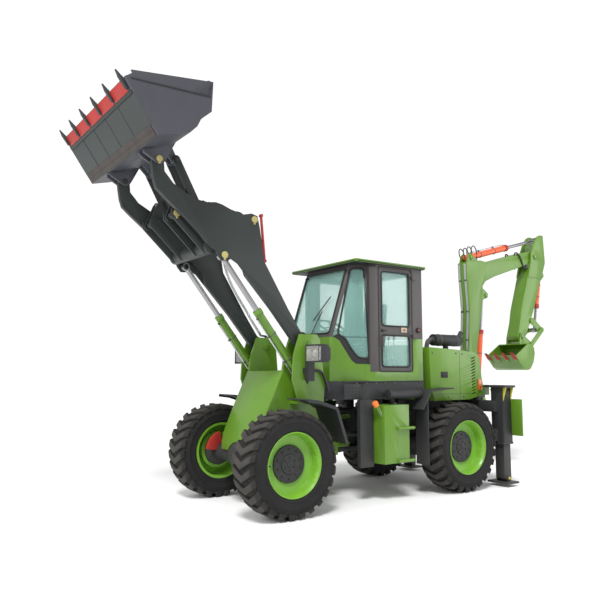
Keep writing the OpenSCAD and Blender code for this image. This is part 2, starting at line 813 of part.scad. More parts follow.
// Loader arms
arm_in = arm_y - arm_t / 2;
arm_out = arm_y + arm_t / 2;
arm_side = [
    [870, 1820], [1000, 1830], [1111, 1963], [1423, 2329], [1894, 2829], [1962, 2866],
    [2224, 2984], [2383, 3138], [2540, 3273], [2798, 3474], [2894, 3556], [2925, 3649],
    [2945, 3769], [2955, 3850], [2930, 3915], [2885, 3935], [2840, 3915], [2815, 3860],
    [2805, 3748], [2698, 3631], [2546, 3551], [2390, 3497], [2296, 3486], [2183, 3503],
    [2103, 3490], [1986, 3448], [1817, 3413], [1713, 3440], [1630, 3420], [1600, 3300],
    [1524, 2881], [1186, 2342], [999, 2073], [860, 2010], [835, 1930]
];
notch_r = 90;
cheek_t = 12;
cross_tube = [2200, 3000];

module loader_arms() {
    color(dark) placed() difference() {
        union() {
            both() {
                difference() {
                    side_plate(arm_side, arm_in, arm_out);
                    cross_bar(lift_pin, arm_in - 1, arm_out - cheek_t, notch_r);
                    side_plate([[1740, 2600], [1830, 2860], [2000, 2990], [2100, 2800]],
                        arm_in - 1, arm_out - cheek_t);
                }
                side_plate([
                    [1980, 2880], [2010, 2850], [2100, 2845], [2150, 2900], [2180, 2965]
                ], arm_out - cheek_t, arm_out);
                cross_bar(lift_pin, arm_out - cheek_t, arm_out + 14, 52);
                for (dy = [-116, 98]) side_plate([
                    [2150, 2950], [2260, 2930], [2660, 3300], [2660, 3385], [2600, 3400],
                    [2545, 3385], [2170, 3060]
                ], crank_y + dy, crank_y + dy + 18);
                cross_bar(crank_pin, crank_y - 120, crank_y + 120, 34);
                for (dy = [-72, 54]) side_plate([
                    [1610, 3330], [1640, 3300], [1720, 3300], [1735, 3372], [1700, 3435], [1640, 3435]
                ], crank_y + dy, crank_y + dy + 18);
                cross_bar(tilt_base, crank_y - 80, arm_in + 1, 30);
                cross_bar(bucket_pin, arm_in - 45, arm_out + 45, 35);
            }
            cross_bar(cross_tube, -arm_in, arm_in, 78);
            cross_bar([1680, 3340], -(crank_y - 70), crank_y - 70, 40);
        }
        both() cross_bar(arm_pin, arm_in - 1, arm_out + 1, 38 + pin_gap);
    }
}

module lift_barrels() {
    color(green) placed() both() ram_barrel(lift_base, lift_pin, lift_y, 1014, 47, 32, 56, 30, 40);
}
module lift_rods() {
    color(steel) placed() both() ram_rod(lift_base, lift_pin, lift_y, 660, 32, 48, 30, 30);
}
module tilt_barrels() {
    color(dark) placed() both() ram_barrel(tilt_base, tilt_pin, crank_y, 590, 45, 26, 46, 30, 48);
}
module tilt_rods() {
    color(steel) placed() both() ram_rod(tilt_base, tilt_pin, crank_y, 290, 26, 44, 26, 33);
}

module bell_cranks() {
    color(dark) placed() both() difference() {
        union() {
            for (dy = [-70, 52]) side_plate([
                crank_pin + [60, -20], crank_pin + [30, 70], tilt_pin + [55, 10], tilt_pin + [25, 52],
                tilt_pin + [-30, 50], link_pin + [-30, 45], link_pin + [-52, 0],
                link_pin + [-20, -45], crank_pin + [-30, -60], crank_pin + [30, -60]
            ], crank_y + dy, crank_y + dy + 18);
            for (s = [-1, 1]) {
                a = s < 0 ? crank_y - 66 : crank_y + 38;
                cross_bar(tilt_pin, a, a + 28, 40);
                b = s < 0 ? crank_y - 95 : crank_y + 60;
                cross_bar(link_pin, b, b + 35, 26);
            }
        }
        cross_bar(crank_pin, crank_y - 120, crank_y + 120, 34 + pin_gap);
    }
}

module tilt_links() {
    color(dark) placed() both() for (dy = [-93, 75]) difference() {
        hull() {
            cross_bar(link_pin, crank_y + dy, crank_y + dy + 18, 46, $fn = 32);
            cross_bar(ear_pin, crank_y + dy, crank_y + dy + 18, 46, $fn = 32);
        }
        cross_bar(link_pin, crank_y + dy - 1, crank_y + dy + 19, 26 + pin_gap);
        cross_bar(ear_pin, crank_y + dy - 1, crank_y + dy + 19, 28);
    }
}

// Loader bucket: outer outline from the lip round the floor and the back to the upper edge
bucket_out = [
    [3465, 4522], [3451, 4447], [3095, 3936], [3063, 3943], [2869, 3995], [2748, 4038],
    [2668, 4121], [2621, 4222], [2506, 4316], [2500, 4461], [2492, 4646]
];
bucket_in = [
    [3440, 4500], [3430, 4460], [3078, 3965], [2880, 4020], [2762, 4062],
    [2690, 4134], [2643, 4234], [2530, 4330], [2524, 4461], [2516, 4646]
];
tooth = [[3465, 4522], [3578, 4575], [3529, 4480], [3400, 4340], [3380, 4374]];

floor_run = (bucket_out[2] - bucket_out[1]) / norm(bucket_out[2] - bucket_out[1]);
floor_out = [-floor_run[1], floor_run[0]];
bucket_ribs = [170, 300, 430, 560];
rib_w = 34;
rib_t = 12;

// A wear strip right across the outside of the floor, at a distance from the lip
module floor_rib(s) {
    p = bucket_out[1] + s * floor_run;
    side_plate([
        p - floor_out, p + rib_w * floor_run - floor_out,
        p + (rib_w - 6) * floor_run + rib_t * floor_out, p + 6 * floor_run + rib_t * floor_out
    ], 20 - bucket_half, bucket_half - 20);
}

module loader_bucket() {
    color(slate) placed() {
        for (s = bucket_ribs) floor_rib(s);
        difference() {
            side_plate(bucket_out, -bucket_half, bucket_half);
            side_plate(concat(bucket_in, [[3500, 4700]]), bucket_t - bucket_half, bucket_half - bucket_t);
        }
        for (i = [0 : bucket_teeth - 1]) {
            y = (i - (bucket_teeth - 1) / 2) * (2 * bucket_half - 120) / (bucket_teeth - 1);
            side_plate(tooth, y - 40, y + 40);
        }
        both() difference() {
            union() {
                for (y = [arm_in - 45, arm_out + 10]) side_plate([
                    [3067, 3930], [3060, 3900], [2890, 3805], [2840, 3815], [2805, 3870],
                    [2700, 4080], [2760, 4040], [2869, 4000]
                ], y, y + 30);
                for (dy = [-67, 45]) side_plate([
                    ear_pin + [-40, -25], ear_pin + [0, -48], ear_pin + [45, -25],
                    [2760, 4040], [2669, 4125]
                ], crank_y + dy, crank_y + dy + 22);
                cross_bar(ear_pin, crank_y - 95, crank_y + 95, 24);
            }
            cross_bar(bucket_pin, arm_in - 60, arm_out + 60, 35 + pin_gap);
        }
    }
}

// Backhoe
module swing_post() {
    color(dark) placed() difference() {
        union() {
            translate([king_x, 0, king_z[0] + 85])
                cylinder(h = king_z[1] - king_z[0] - 170, r = king_lug_r + 7);
            block(boom_base[0] + 60, king_x, -king_lug_r, king_lug_r, 860, king_z[1] - 85);
            block(boom_base[0] + 60, boom_base[0] + 97, -130, 130, 860, 1335);
            both() side_plate([
                [-2640, 1420], [-2640, 1500], [-2680, 1555], [-2750, 1555], [-2810, 1470],
                [-2905, 1220], [-2910, 1130], [-2850, 1090], [-2766, 1080], [-2766, 1310],
                [-2715, 1340]
            ], 100, 130);
            both() cross_bar(boom_base, 60, 101, 52);
            cross_bar(boom_pin, -150, 150, 40);
            cross_bar(boom_base, -150, 150, 30);
        }
        translate([king_x, 0, 600]) cylinder(h = 800, r = king_r + pin_gap);
        translate([king_x, 0, king_z[1] - 85]) cylinder(h = 200, r = king_lug_r + 6);
    }
}

boom_side = [
    [-2632, 1440], [-2620, 1500], [-2600, 1960], [-2640, 2600], [-2600, 3100], [-2594, 3351],
    [-2700, 3388], [-2939, 3415], [-3120, 3403], [-3977, 3640], [-4300, 3715], [-4380, 3725],
    [-4450, 3700], [-4485, 3620], [-4450, 3545], [-4380, 3515], [-4250, 3490], [-3900, 3370],
    [-3300, 3180], [-3060, 3080], [-2987, 3000], [-2936, 2600], [-2800, 1960], [-2808, 1500],
    [-2795, 1410], [-2740, 1372], [-2690, 1375]
];

module boom() {
    color(green) placed() difference() {
        union() {
            side_plate(boom_side, -boom_half, boom_half);
            for (y = [-80, 60]) {
                side_plate([
                    [-2920, 2700], [-2960, 2760], [-3110, 2810], [-3125, 2880], [-3070, 2915],
                    [-2960, 2980]
                ], y, y + 20);
                side_plate([
                    [-2610, 3340], [-2660, 3480], [-2700, 3515], [-2750, 3510], [-2900, 3400]
                ], y, y + 20);
            }
            cross_bar(dipper_base, -88, 88, 30);
            both() cross_bar(boom_eye, 60, 92, 34);
        }
        for (p = [boom_pin, dipper_pin]) cross_bar(p, -200, 200, 40 + pin_gap);
    }
}

module boom_barrel() {
    color(orange) placed() ram_barrel(boom_base, boom_eye, 0, 1125, 52, 30, 50, 30, 45);
}
module boom_rod() {
    color(steel) placed() ram_rod(boom_base, boom_eye, 0, 640, 30, 48, 30, 45);
}

dipper_side = [
    [-4290, 3420], [-4634, 3420], [-4312, 2670], [-4200, 2440], [-4010, 2150], [-3960, 2110],
    [-3900, 2108], [-3850, 2140], [-3832, 2200], [-3860, 2280], [-3916, 2440], [-3967, 2670],
    [-4180, 3250]
];
head_side = [
    [-4180, 3250], [-4270, 3540], [-4280, 3660], [-4403, 3902], [-4500, 4000], [-4570, 4031],
    [-4652, 4031], [-4686, 3540], [-4634, 3420], [-4561, 3250]
];

module dipper() {
    color(green) placed() {
        difference() {
            union() {
                side_plate(dipper_side, -dipper_half, dipper_half);
                both() {
                    side_plate(head_side, boom_half + 8, boom_half + 36);
                    cross_bar(dipper_eye, 58, boom_half + 9, 44);
                    side_plate([
                        [-4500, 3140], [-4640, 3240], [-4707, 3300], [-4700, 3350],
                        [-4660, 3372], [-4560, 3372]
                    ], 50, 74);
                }
                cross_bar(dipper_pin, -boom_half - 50, boom_half + 50, 40);
                cross_bar(rocker_pin, -dipper_half - 27, dipper_half + 27, 36);
                cross_bar(hoe_pin, -dipper_half - 29, dipper_half + 29, 36);
            }
            cross_bar(hoe_base, -50, 50, 56);
        }
        cross_bar(hoe_base, -88, 88, 28);
    }
}

module dipper_barrel() {
    color(orange) placed() ram_barrel(dipper_base, dipper_eye, 0, 1060, 50, 28, 50, 30, 45);
}
module dipper_rod() {
    color(steel) placed() ram_rod(dipper_base, dipper_eye, 0, 790, 28, 50, 28, 45);
}
module hoe_barrel() {
    color(orange) placed() ram_barrel(hoe_base, rocker_eye, 0, 600, 44, 24, 45, 28, 44);
}
module hoe_rod() {
    color(steel) placed() ram_rod(hoe_base, rocker_eye, 0, 440, 24, 42, 24, 44);
}

module hoe_rocker() {
    color(green) placed() both() difference() {
        union() {
            hull() {
                cross_bar(rocker_pin, dipper_half + 5, dipper_half + 25, 60, $fn = 32);
                cross_bar(rocker_eye, dipper_half + 5, dipper_half + 25, 44, $fn = 32);
            }
            cross_bar(rocker_eye, 51, dipper_half + 6, 36);
            cross_bar(rocker_eye, dipper_half + 6, dipper_half + 56, 26);
        }
        cross_bar(rocker_pin, 90, 200, 36 + pin_gap);
    }
}

module hoe_link() {
    color(green) placed() both() difference() {
        hull() {
            cross_bar(rocker_eye, dipper_half + 34, dipper_half + 52, 42, $fn = 32);
            cross_bar(hoe_ear, dipper_half + 34, dipper_half + 52, 42, $fn = 32);
        }
        cross_bar(rocker_eye, 90, 200, 26 + pin_gap);
        cross_bar(hoe_ear, 90, 200, 28);
    }
}

hoe_out = [
    [-3506, 1855], [-3690, 1668], [-3770, 1628], [-3830, 1626], [-3900, 1652], [-3985, 1760],
    [-4025, 1900], [-4010, 2005], [-3900, 2060], [-3860, 2070]
];
hoe_in = [
    [-3500, 1900], [-3535, 1852], [-3700, 1690], [-3775, 1650], [-3825, 1647], [-3890, 1672],
    [-3967, 1770], [-4006, 1905], [-3994, 1993], [-3893, 2042], [-3840, 2056], [-3600, 2100]
];

module hoe_bucket() {
    color(green) placed() {
        difference() {
            side_plate(hoe_out, -hoe_half, hoe_half);
            side_plate(hoe_in, hoe_t - hoe_half, hoe_half - hoe_t);
        }
        for (i = [0 : hoe_teeth - 1]) {
            y = (i - (hoe_teeth - 1) / 2) * (2 * hoe_half - 80) / (hoe_teeth - 1);
            side_plate([[-3506, 1855], [-3440, 1905], [-3520, 1815], [-3590, 1760], [-3600, 1790]],
                y - 30, y + 30);
        }
        both() difference() {
            union() {
                side_plate([
                    [-3845, 2060], [-3862, 2190], [-3890, 2255], [-3945, 2262], [-4000, 2200],
                    [-4150, 2112], [-4200, 2070], [-4190, 2030], [-4140, 2005], [-4012, 1990],
                    [-3900, 2052]
                ], dipper_half + 5, dipper_half + 27);
                cross_bar(hoe_ear, dipper_half + 6, dipper_half + 54, 24);
            }
            cross_bar(hoe_pin, 90, 200, 36 + pin_gap);
        }
    }
}

rear_frame();
engine_block();
axle(-1);  // rear_axle
cab_body();
cab_frame();
cab_roof();
cab_glass();
operator_seat();
steering_console();
engine_hood();
exhaust_muffler();
side_tanks();
side_decks();
rear_fenders();
backhoe_frame();
rear_boards();
rear_lamps();
door(1);  // door_left
door(-1);  // door_right
door_glass(1);  // door_glass_left
door_glass(-1);  // door_glass_right
front_frame();
axle(1);  // front_axle
front_fenders();
headlamps();
tyre(1, 1);  // tyre_front_left
tyre(1, -1);  // tyre_front_right
tyre(-1, 1);  // tyre_rear_left
tyre(-1, -1);  // tyre_rear_right
rim(1, 1);  // rim_front_left
rim(1, -1);  // rim_front_right
rim(-1, 1);  // rim_rear_left
rim(-1, -1);  // rim_rear_right
steer_barrel(1);  // steer_barrel_left
steer_barrel(-1);  // steer_barrel_right
steer_rod(1);  // steer_rod_left
steer_rod(-1);  // steer_rod_right
loader_arms();
lift_barrels();
lift_rods();
tilt_barrels();
tilt_rods();
bell_cranks();
tilt_links();
loader_bucket();
swing_post();
boom();
boom_barrel();
boom_rod();
dipper();
dipper_barrel();
dipper_rod();
hoe_bucket();
hoe_barrel();
hoe_rod();
hoe_rocker();
hoe_link();
stabiliser(1);  // stabiliser_left
stabiliser(-1);  // stabiliser_right
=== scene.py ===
"""Dresses the backhoe loader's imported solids: rounded steel, paint, rubber, glass, fittings and a studio."""
import json
import math

import bpy
from mathutils import Matrix, Vector

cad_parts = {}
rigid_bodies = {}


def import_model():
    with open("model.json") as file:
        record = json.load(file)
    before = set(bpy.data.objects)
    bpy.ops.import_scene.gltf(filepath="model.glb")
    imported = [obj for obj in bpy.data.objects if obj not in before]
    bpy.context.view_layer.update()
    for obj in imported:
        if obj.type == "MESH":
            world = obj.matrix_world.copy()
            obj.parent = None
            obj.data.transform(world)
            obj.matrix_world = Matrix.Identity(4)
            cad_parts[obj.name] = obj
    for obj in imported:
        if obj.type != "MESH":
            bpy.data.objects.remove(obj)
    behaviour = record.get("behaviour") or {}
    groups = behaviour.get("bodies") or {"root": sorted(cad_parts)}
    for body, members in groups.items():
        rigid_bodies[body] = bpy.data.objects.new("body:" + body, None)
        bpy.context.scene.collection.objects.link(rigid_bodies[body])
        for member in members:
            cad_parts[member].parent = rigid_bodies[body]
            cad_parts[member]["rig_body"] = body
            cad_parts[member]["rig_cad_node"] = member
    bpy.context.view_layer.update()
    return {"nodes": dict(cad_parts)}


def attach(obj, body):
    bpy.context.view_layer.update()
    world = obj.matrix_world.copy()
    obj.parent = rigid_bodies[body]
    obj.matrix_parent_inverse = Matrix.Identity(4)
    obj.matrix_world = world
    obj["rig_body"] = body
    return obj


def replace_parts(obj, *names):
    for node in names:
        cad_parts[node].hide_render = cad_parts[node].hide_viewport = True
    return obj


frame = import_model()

bl_info = {
    "name": "Backhoe Loader Dressing",
    "version": (1, 0, 0),
    "blender": (4, 5, 0),
    "location": "3D View > Sidebar > Backhoe",
    "description": "Dresses the packed solids of an articulated backhoe loader",
    "category": "Object",
}

# The pins were measured from the articulation pin, which lies this far along X in the frame
HITCH_X = 0.5645
SIDES = (("left", 1), ("right", -1))
# Radius of the tyres and of the rims, height of a tread bar, and half the wheelbase and half the track
TYRE_R, RIM_R, LUG_H = 0.590, 0.357, 0.034
AXLE_X, TRACK_HALF = 1.42, 0.83
WHEELS = [(f"{end}_{side}", x, y) for end, x in (("front", AXLE_X), ("rear", -AXLE_X)) for side, y in SIDES]
# Vertices closer than this are one
WELD = 1e-5


# Sizes and colours that a user changes

class LoaderPaint(bpy.types.PropertyGroup):
    """Colours of the machine."""
    body: bpy.props.FloatVectorProperty(name="Body", description="Green of the sheet metal", subtype="COLOR",
        size=3, min=0, max=1, default=(0.096, 0.222, 0.010))
    rim: bpy.props.FloatVectorProperty(name="Rims", description="Bright green of the wheel rims",
        subtype="COLOR", size=3, min=0, max=1, default=(0.165, 0.400, 0.022))
    arm: bpy.props.FloatVectorProperty(name="Arms", description="Dark paint of the lifting arms",
        subtype="COLOR", size=3, min=0, max=1, default=(0.017, 0.023, 0.022))
    bucket: bpy.props.FloatVectorProperty(name="Bucket", description="Slate paint of the loader bucket",
        subtype="COLOR", size=3, min=0, max=1, default=(0.056, 0.059, 0.073))
    red: bpy.props.FloatVectorProperty(name="Lip", description="Red of the bucket's lip and the calipers",
        subtype="COLOR", size=3, min=0, max=1, default=(0.36, 0.016, 0.010))
    orange: bpy.props.FloatVectorProperty(name="Cylinders", description="Orange of the backhoe's cylinders",
        subtype="COLOR", size=3, min=0, max=1, default=(0.80, 0.105, 0.026))
    chassis: bpy.props.FloatVectorProperty(name="Chassis", description="Near black of the chassis",
        subtype="COLOR", size=3, min=0, max=1, default=(0.016, 0.0175, 0.020))
    cab: bpy.props.FloatVectorProperty(name="Cab frame", description="Grey of the cab's pillars and doors",
        subtype="COLOR", size=3, min=0, max=1, default=(0.062, 0.054, 0.054))
    glass: bpy.props.FloatVectorProperty(name="Glass", description="Tint of the windows", subtype="COLOR",
        size=3, min=0, max=1, default=(0.36, 0.70, 0.62))
    wear: bpy.props.FloatProperty(name="Wear", description="How much the paint is chipped", subtype="FACTOR",
        min=0, max=1, default=0.30)
    dust: bpy.props.FloatProperty(name="Dust", description="How much dust lies on the machine",
        subtype="FACTOR", min=0, max=1, default=0.14)


class LoaderSizes(bpy.types.PropertyGroup):
    """Sizes of what is added to the solids."""
    edge: bpy.props.FloatProperty(name="Edge", description="Rounding of a plate's edges", unit="LENGTH",
        min=0.001, max=0.01, default=0.004)
    bolt: bpy.props.FloatProperty(name="Bolt", description="Radius of a bolt's head on the hood and decks",
        unit="LENGTH", min=0.006, max=0.03, default=0.009)
    hose: bpy.props.FloatProperty(name="Hose", description="Radius of a hydraulic hose", unit="LENGTH",
        min=0.006, max=0.02, default=0.011)
    seal: bpy.props.FloatProperty(name="Seal", description="Width of a window's rubber seal", unit="LENGTH",
        min=0.01, max=0.05, default=0.026)
    lugs: bpy.props.IntProperty(name="Lugs", description="Bars of a tyre's tread", min=12, max=36, default=26)


class LoaderStage(bpy.types.PropertyGroup):
    """Camera and light."""
    eye: bpy.props.FloatVectorProperty(name="Eye", description="Where the camera stands",
        subtype="TRANSLATION", size=3, default=(6.0765, 6.841, 1.609))
    heading: bpy.props.FloatProperty(name="Heading", description="Way the camera looks, from +X",
        subtype="ANGLE", default=math.radians(234.51))
    pitch: bpy.props.FloatProperty(name="Pitch", description="How far the camera looks up", subtype="ANGLE",
        default=math.radians(6.32))
    lens: bpy.props.FloatProperty(name="Lens", description="Focal length", subtype="DISTANCE_CAMERA",
        min=20, max=100, default=38.47)
    key: bpy.props.FloatProperty(name="Key", description="Strength of the sun", min=0, max=10, default=2.5)
    sky: bpy.props.FloatProperty(name="Sky", description="Strength of the light from all round", min=0, max=3,
        default=0.62)


def paint():
    return bpy.context.scene.loader_paint


def sizes():
    return bpy.context.scene.loader_sizes


# Materials

class Wire:
    """A shader value that works in sums, as a number does."""

    def __init__(self, finish, socket):
        self.finish, self.socket = finish, socket

    def sum(self, operation, *others):
        return self.finish.node("ShaderNodeMath", {"operation": operation}, self, *others)

    def __add__(self, other):
        return self.sum("ADD", other)

    def __sub__(self, other):
        return self.sum("SUBTRACT", other)

    def __mul__(self, other):
        return self.sum("MULTIPLY", other)

    def __truediv__(self, other):
        return self.sum("DIVIDE", other)

    def __rsub__(self, other):
        return self.finish.node("ShaderNodeMath", {"operation": "SUBTRACT"}, other, self)

    __radd__, __rmul__ = __add__, __mul__

    def above(self, edge, soft=0.05):
        """0 below the edge and 1 above it, with a soft step."""
        return ((self - (edge - soft)) / (2 * soft)).sum("MAXIMUM", 0.0).sum("MINIMUM", 1.0)


class Finish:
    """A material that is put together node by node."""

    def __init__(self, name):
        self.material = bpy.data.materials.new(name)
        self.material.use_nodes = True
        self.tree = self.material.node_tree
        self.shader = self.tree.nodes["Principled BSDF"]
        self.place = self.node("ShaderNodeTexCoord", {}, output="Object")

    def node(self, kind, settings, *inputs, output=0, **named):
        """Adds a node: settings first, then its inputs by order or by name, and gives back one output."""
        made = self.tree.nodes.new(kind)
        for key, value in settings.items():
            if key == "stops":
                self.stops(made.color_ramp, value)
            else:
                setattr(made, key, value)
        for key, value in list(enumerate(inputs)) + list(named.items()):
            target = made.inputs[key.replace("_", " ") if isinstance(key, str) else key]
            self.feed(target, value)
        return Wire(self, made.outputs[output])

    def feed(self, target, value):
        if isinstance(value, Wire):
            self.tree.links.new(value.socket, target)
        elif value is not None:
            target.default_value = value

    def stops(self, ramp, stops):
        while len(ramp.elements) < len(stops):
            ramp.elements.new(0.5)
        for element, (at, shade) in zip(ramp.elements, stops):
            element.position = at
            element.color = (*shade, 1) if len(shade) == 3 else shade

    def noise(self, scale, detail=4.0, rough=0.55, stretch=(1, 1, 1), shift=(0, 0, 0)):
        """Cloudy noise from 0 to 1, stretched along the axes where wanted."""
        where = self.node("ShaderNodeMapping", {}, self.place, Scale=stretch, Location=shift)
        return self.node("ShaderNodeTexNoise", {}, where, Scale=scale, Detail=detail, Roughness=rough)

    def blend(self, factor, low, high, mode="MIX"):
        """A colour between two others."""
        made = self.tree.nodes.new("ShaderNodeMix")
        made.data_type, made.blend_type = "RGBA", mode
        for socket, value in zip((made.inputs[0], made.inputs[6], made.inputs[7]), (factor, low, high)):
            self.feed(socket, (*value, 1) if isinstance(value, (tuple, list)) and len(value) == 3 else value)
        return Wire(self, made.outputs[2])

    def part(self, wire, axis):
        """One coordinate of a vector."""
        return self.node("ShaderNodeSeparateXYZ", {}, wire, output="XYZ".index(axis))

    def facing_up(self):
        return self.part(self.node("ShaderNodeNewGeometry", {}, output="Normal"), "Z").sum("MAXIMUM", 0.0)

    def bump(self, height, depth, strength=0.5):
        return self.node("ShaderNodeBump", {}, Strength=strength, Distance=depth, Height=height)

    def set(self, **values):
        for key, value in values.items():
            if isinstance(value, (tuple, list)) and len(value) == 3:
                value = (*value, 1)
            self.feed(self.shader.inputs[key.replace("_", " ")], value)
        return self.material


DUST = (0.30, 0.25, 0.19)
made_finishes = {}


def finish(name):
    """The finish of that name, made when it is first asked for."""
    if name not in made_finishes:
        made_finishes[name] = RECIPES[name](name)
    return made_finishes[name]


def painted(name, colour, gloss=0.34, wear=1.0, dust=1.0, under=(0.10, 0.09, 0.085)):
    """Sprayed steel: uneven colour, dust low down and on what faces up, chips, runs and orange peel."""
    skin = Finish(name)
    worn, dusty = paint().wear * wear, paint().dust * dust
    cloud = skin.noise(1.7, 5, 0.6)
    fine = skin.noise(38, 6, 0.65)
    runs = skin.noise(5.5, 5, 0.6, stretch=(2.6, 2.6, 0.35))
    height = skin.part(skin.place, "Z")
    low = (1.15 - height).sum("MAXIMUM", 0.0).sum("MINIMUM", 1.0)
    base = skin.blend(cloud, tuple(c * 0.80 for c in colour), tuple(min(1, c * 1.14 + 0.004) for c in colour))
    base = skin.blend(runs.above(0.60, 0.10) * 0.16, base, tuple(c * 0.45 for c in colour))
    film = (low * 0.55 + skin.facing_up() * 0.30 + 0.05) * runs.above(0.44, 0.20) * dusty
    film = film.sum("MINIMUM", 0.75)
    base = skin.blend(film, base, DUST)
    chip = skin.noise(13, 9, 0.72, shift=(3, 1, 2)).above(0.735 - 0.07 * worn, 0.008) * min(1.0, worn * 2.4)
    base = skin.blend(chip, base, under)
    rough = gloss + cloud * 0.10 + film * 0.42 + chip * 0.30 + fine * 0.06
    peel = skin.noise(210, 2, 0.5) * 0.35 + fine * 0.5 - chip * 0.8
    return skin.set(Base_Color=base, Roughness=rough.sum("MINIMUM", 1.0),
        Normal=skin.bump(peel, 0.0006, 0.35),
        Coat_Weight=0.25 if gloss < 0.4 else 0.0, Coat_Roughness=0.12, Specular_IOR_Level=0.5)


def rubber(name, centre_x):
    """Tyre rubber: black walls with fine rings, and tread blocks brown with dried dust."""
    skin = Finish(name)
    x = skin.part(skin.place, "X") - centre_x
    z = skin.part(skin.place, "Z") - TYRE_R
    radius = (x * x + z * z).sum("SQRT")
    cloud = skin.noise(6, 6, 0.65)
    grit = skin.noise(85, 6, 0.7)
    tread = radius.above(0.535, 0.012)
    crown = radius.above(0.578, 0.006)
    base = skin.blend(cloud, (0.007, 0.007, 0.0075), (0.015, 0.0145, 0.0145))
    soil = (tread * 0.16 + 0.02) * cloud.above(0.47, 0.16) + crown * 0.22
    base = skin.blend(soil.sum("MINIMUM", 0.62), base, (0.112, 0.102, 0.088))
    rings = (radius * 720.0).sum("SINE") * (1 - tread)
    height = grit * 0.5 + rings * 0.12 + cloud * 0.4
    return skin.set(Base_Color=base, Roughness=0.80 + grit * 0.14, Normal=skin.bump(height, 0.0012, 0.6),
        Specular_IOR_Level=0.35)


def plain_metal(name, colour, rough, scale=24, metallic=1.0, stain=0.3):
    """Bare or plated steel, a little grained and stained."""
    skin = Finish(name)
    grain = skin.noise(scale, 6, 0.65)
    cloud = skin.noise(4, 5, 0.6)
    base = skin.blend(cloud.above(0.58, 0.14) * stain, colour, tuple(c * 0.42 for c in colour))
    return skin.set(Base_Color=base, Metallic=metallic, Roughness=rough + grain * 0.16 + cloud * 0.06,
        Normal=skin.bump(grain, 0.0003, 0.25))


def moulded(name, colour, rough=0.55, scale=160):
    """Moulded plastic or hose rubber with a fine grain."""
    skin = Finish(name)
    grain = skin.noise(scale, 3, 0.6)
    cloud = skin.noise(3.5, 5, 0.6)
    base = skin.blend(cloud, tuple(c * 0.75 for c in colour), tuple(c * 1.3 + 0.004 for c in colour))
    base = skin.blend(skin.facing_up() * cloud.above(0.5, 0.2) * 0.22 * paint().dust, base, DUST)
    return skin.set(Base_Color=base, Roughness=rough + grain * 0.12, Normal=skin.bump(grain, 0.0006, 0.35))


def window(name, tint, cover):
    """Safety glass with a faint film."""
    skin = Finish(name)
    film = skin.noise(2.4, 4, 0.6)
    base = skin.blend(film, tuple(c * 0.86 for c in tint), tint)
    skin.set(Base_Color=base, Roughness=0.03 + film * 0.05, Alpha=cover + film * 0.10,
        Specular_IOR_Level=0.8, Coat_Weight=0.6, Coat_Roughness=0.02)
    return skin.material


def woven(name, colour):
    """Seat cloth with a visible weave."""
    skin = Finish(name)
    across = (skin.part(skin.place, "X") * 1500.0).sum("SINE")
    along = (skin.part(skin.place, "Y") * 1500.0).sum("SINE")
    up = (skin.part(skin.place, "Z") * 1500.0).sum("SINE")
    weave = across * along + up * 0.5
    cloud = skin.noise(7, 5, 0.6)
    base = skin.blend(cloud, tuple(c * 0.7 for c in colour), tuple(c * 1.5 for c in colour))
    return skin.set(Base_Color=base, Roughness=0.86 + cloud * 0.1, Sheen_Weight=0.25, Sheen_Roughness=0.5,
        Normal=skin.bump(weave * 0.3 + cloud, 0.0007, 0.5))


def lens(name, colour, glow=0.0):
    """Lamp glass with a ribbed face."""
    skin = Finish(name)
    ribs = (skin.part(skin.place, "Z") * 620.0).sum("SINE") * 0.5 + 0.5
    cloud = skin.noise(9, 4, 0.5)
    base = skin.blend(ribs * 0.6 + cloud * 0.2, tuple(c * 0.55 for c in colour), colour)
    return skin.set(Base_Color=base, Roughness=0.10 + cloud * 0.08, Normal=skin.bump(ribs, 0.001, 0.5),
        Coat_Weight=0.8, Emission_Color=base, Emission_Strength=glow)


def studio_floor(name):
    """Pale seamless floor."""
    skin = Finish(name)
    cloud = skin.noise(0.5, 3, 0.5)
    return skin.set(Base_Color=skin.blend(cloud, (0.90, 0.90, 0.90), (0.94, 0.94, 0.94)), Roughness=0.85)


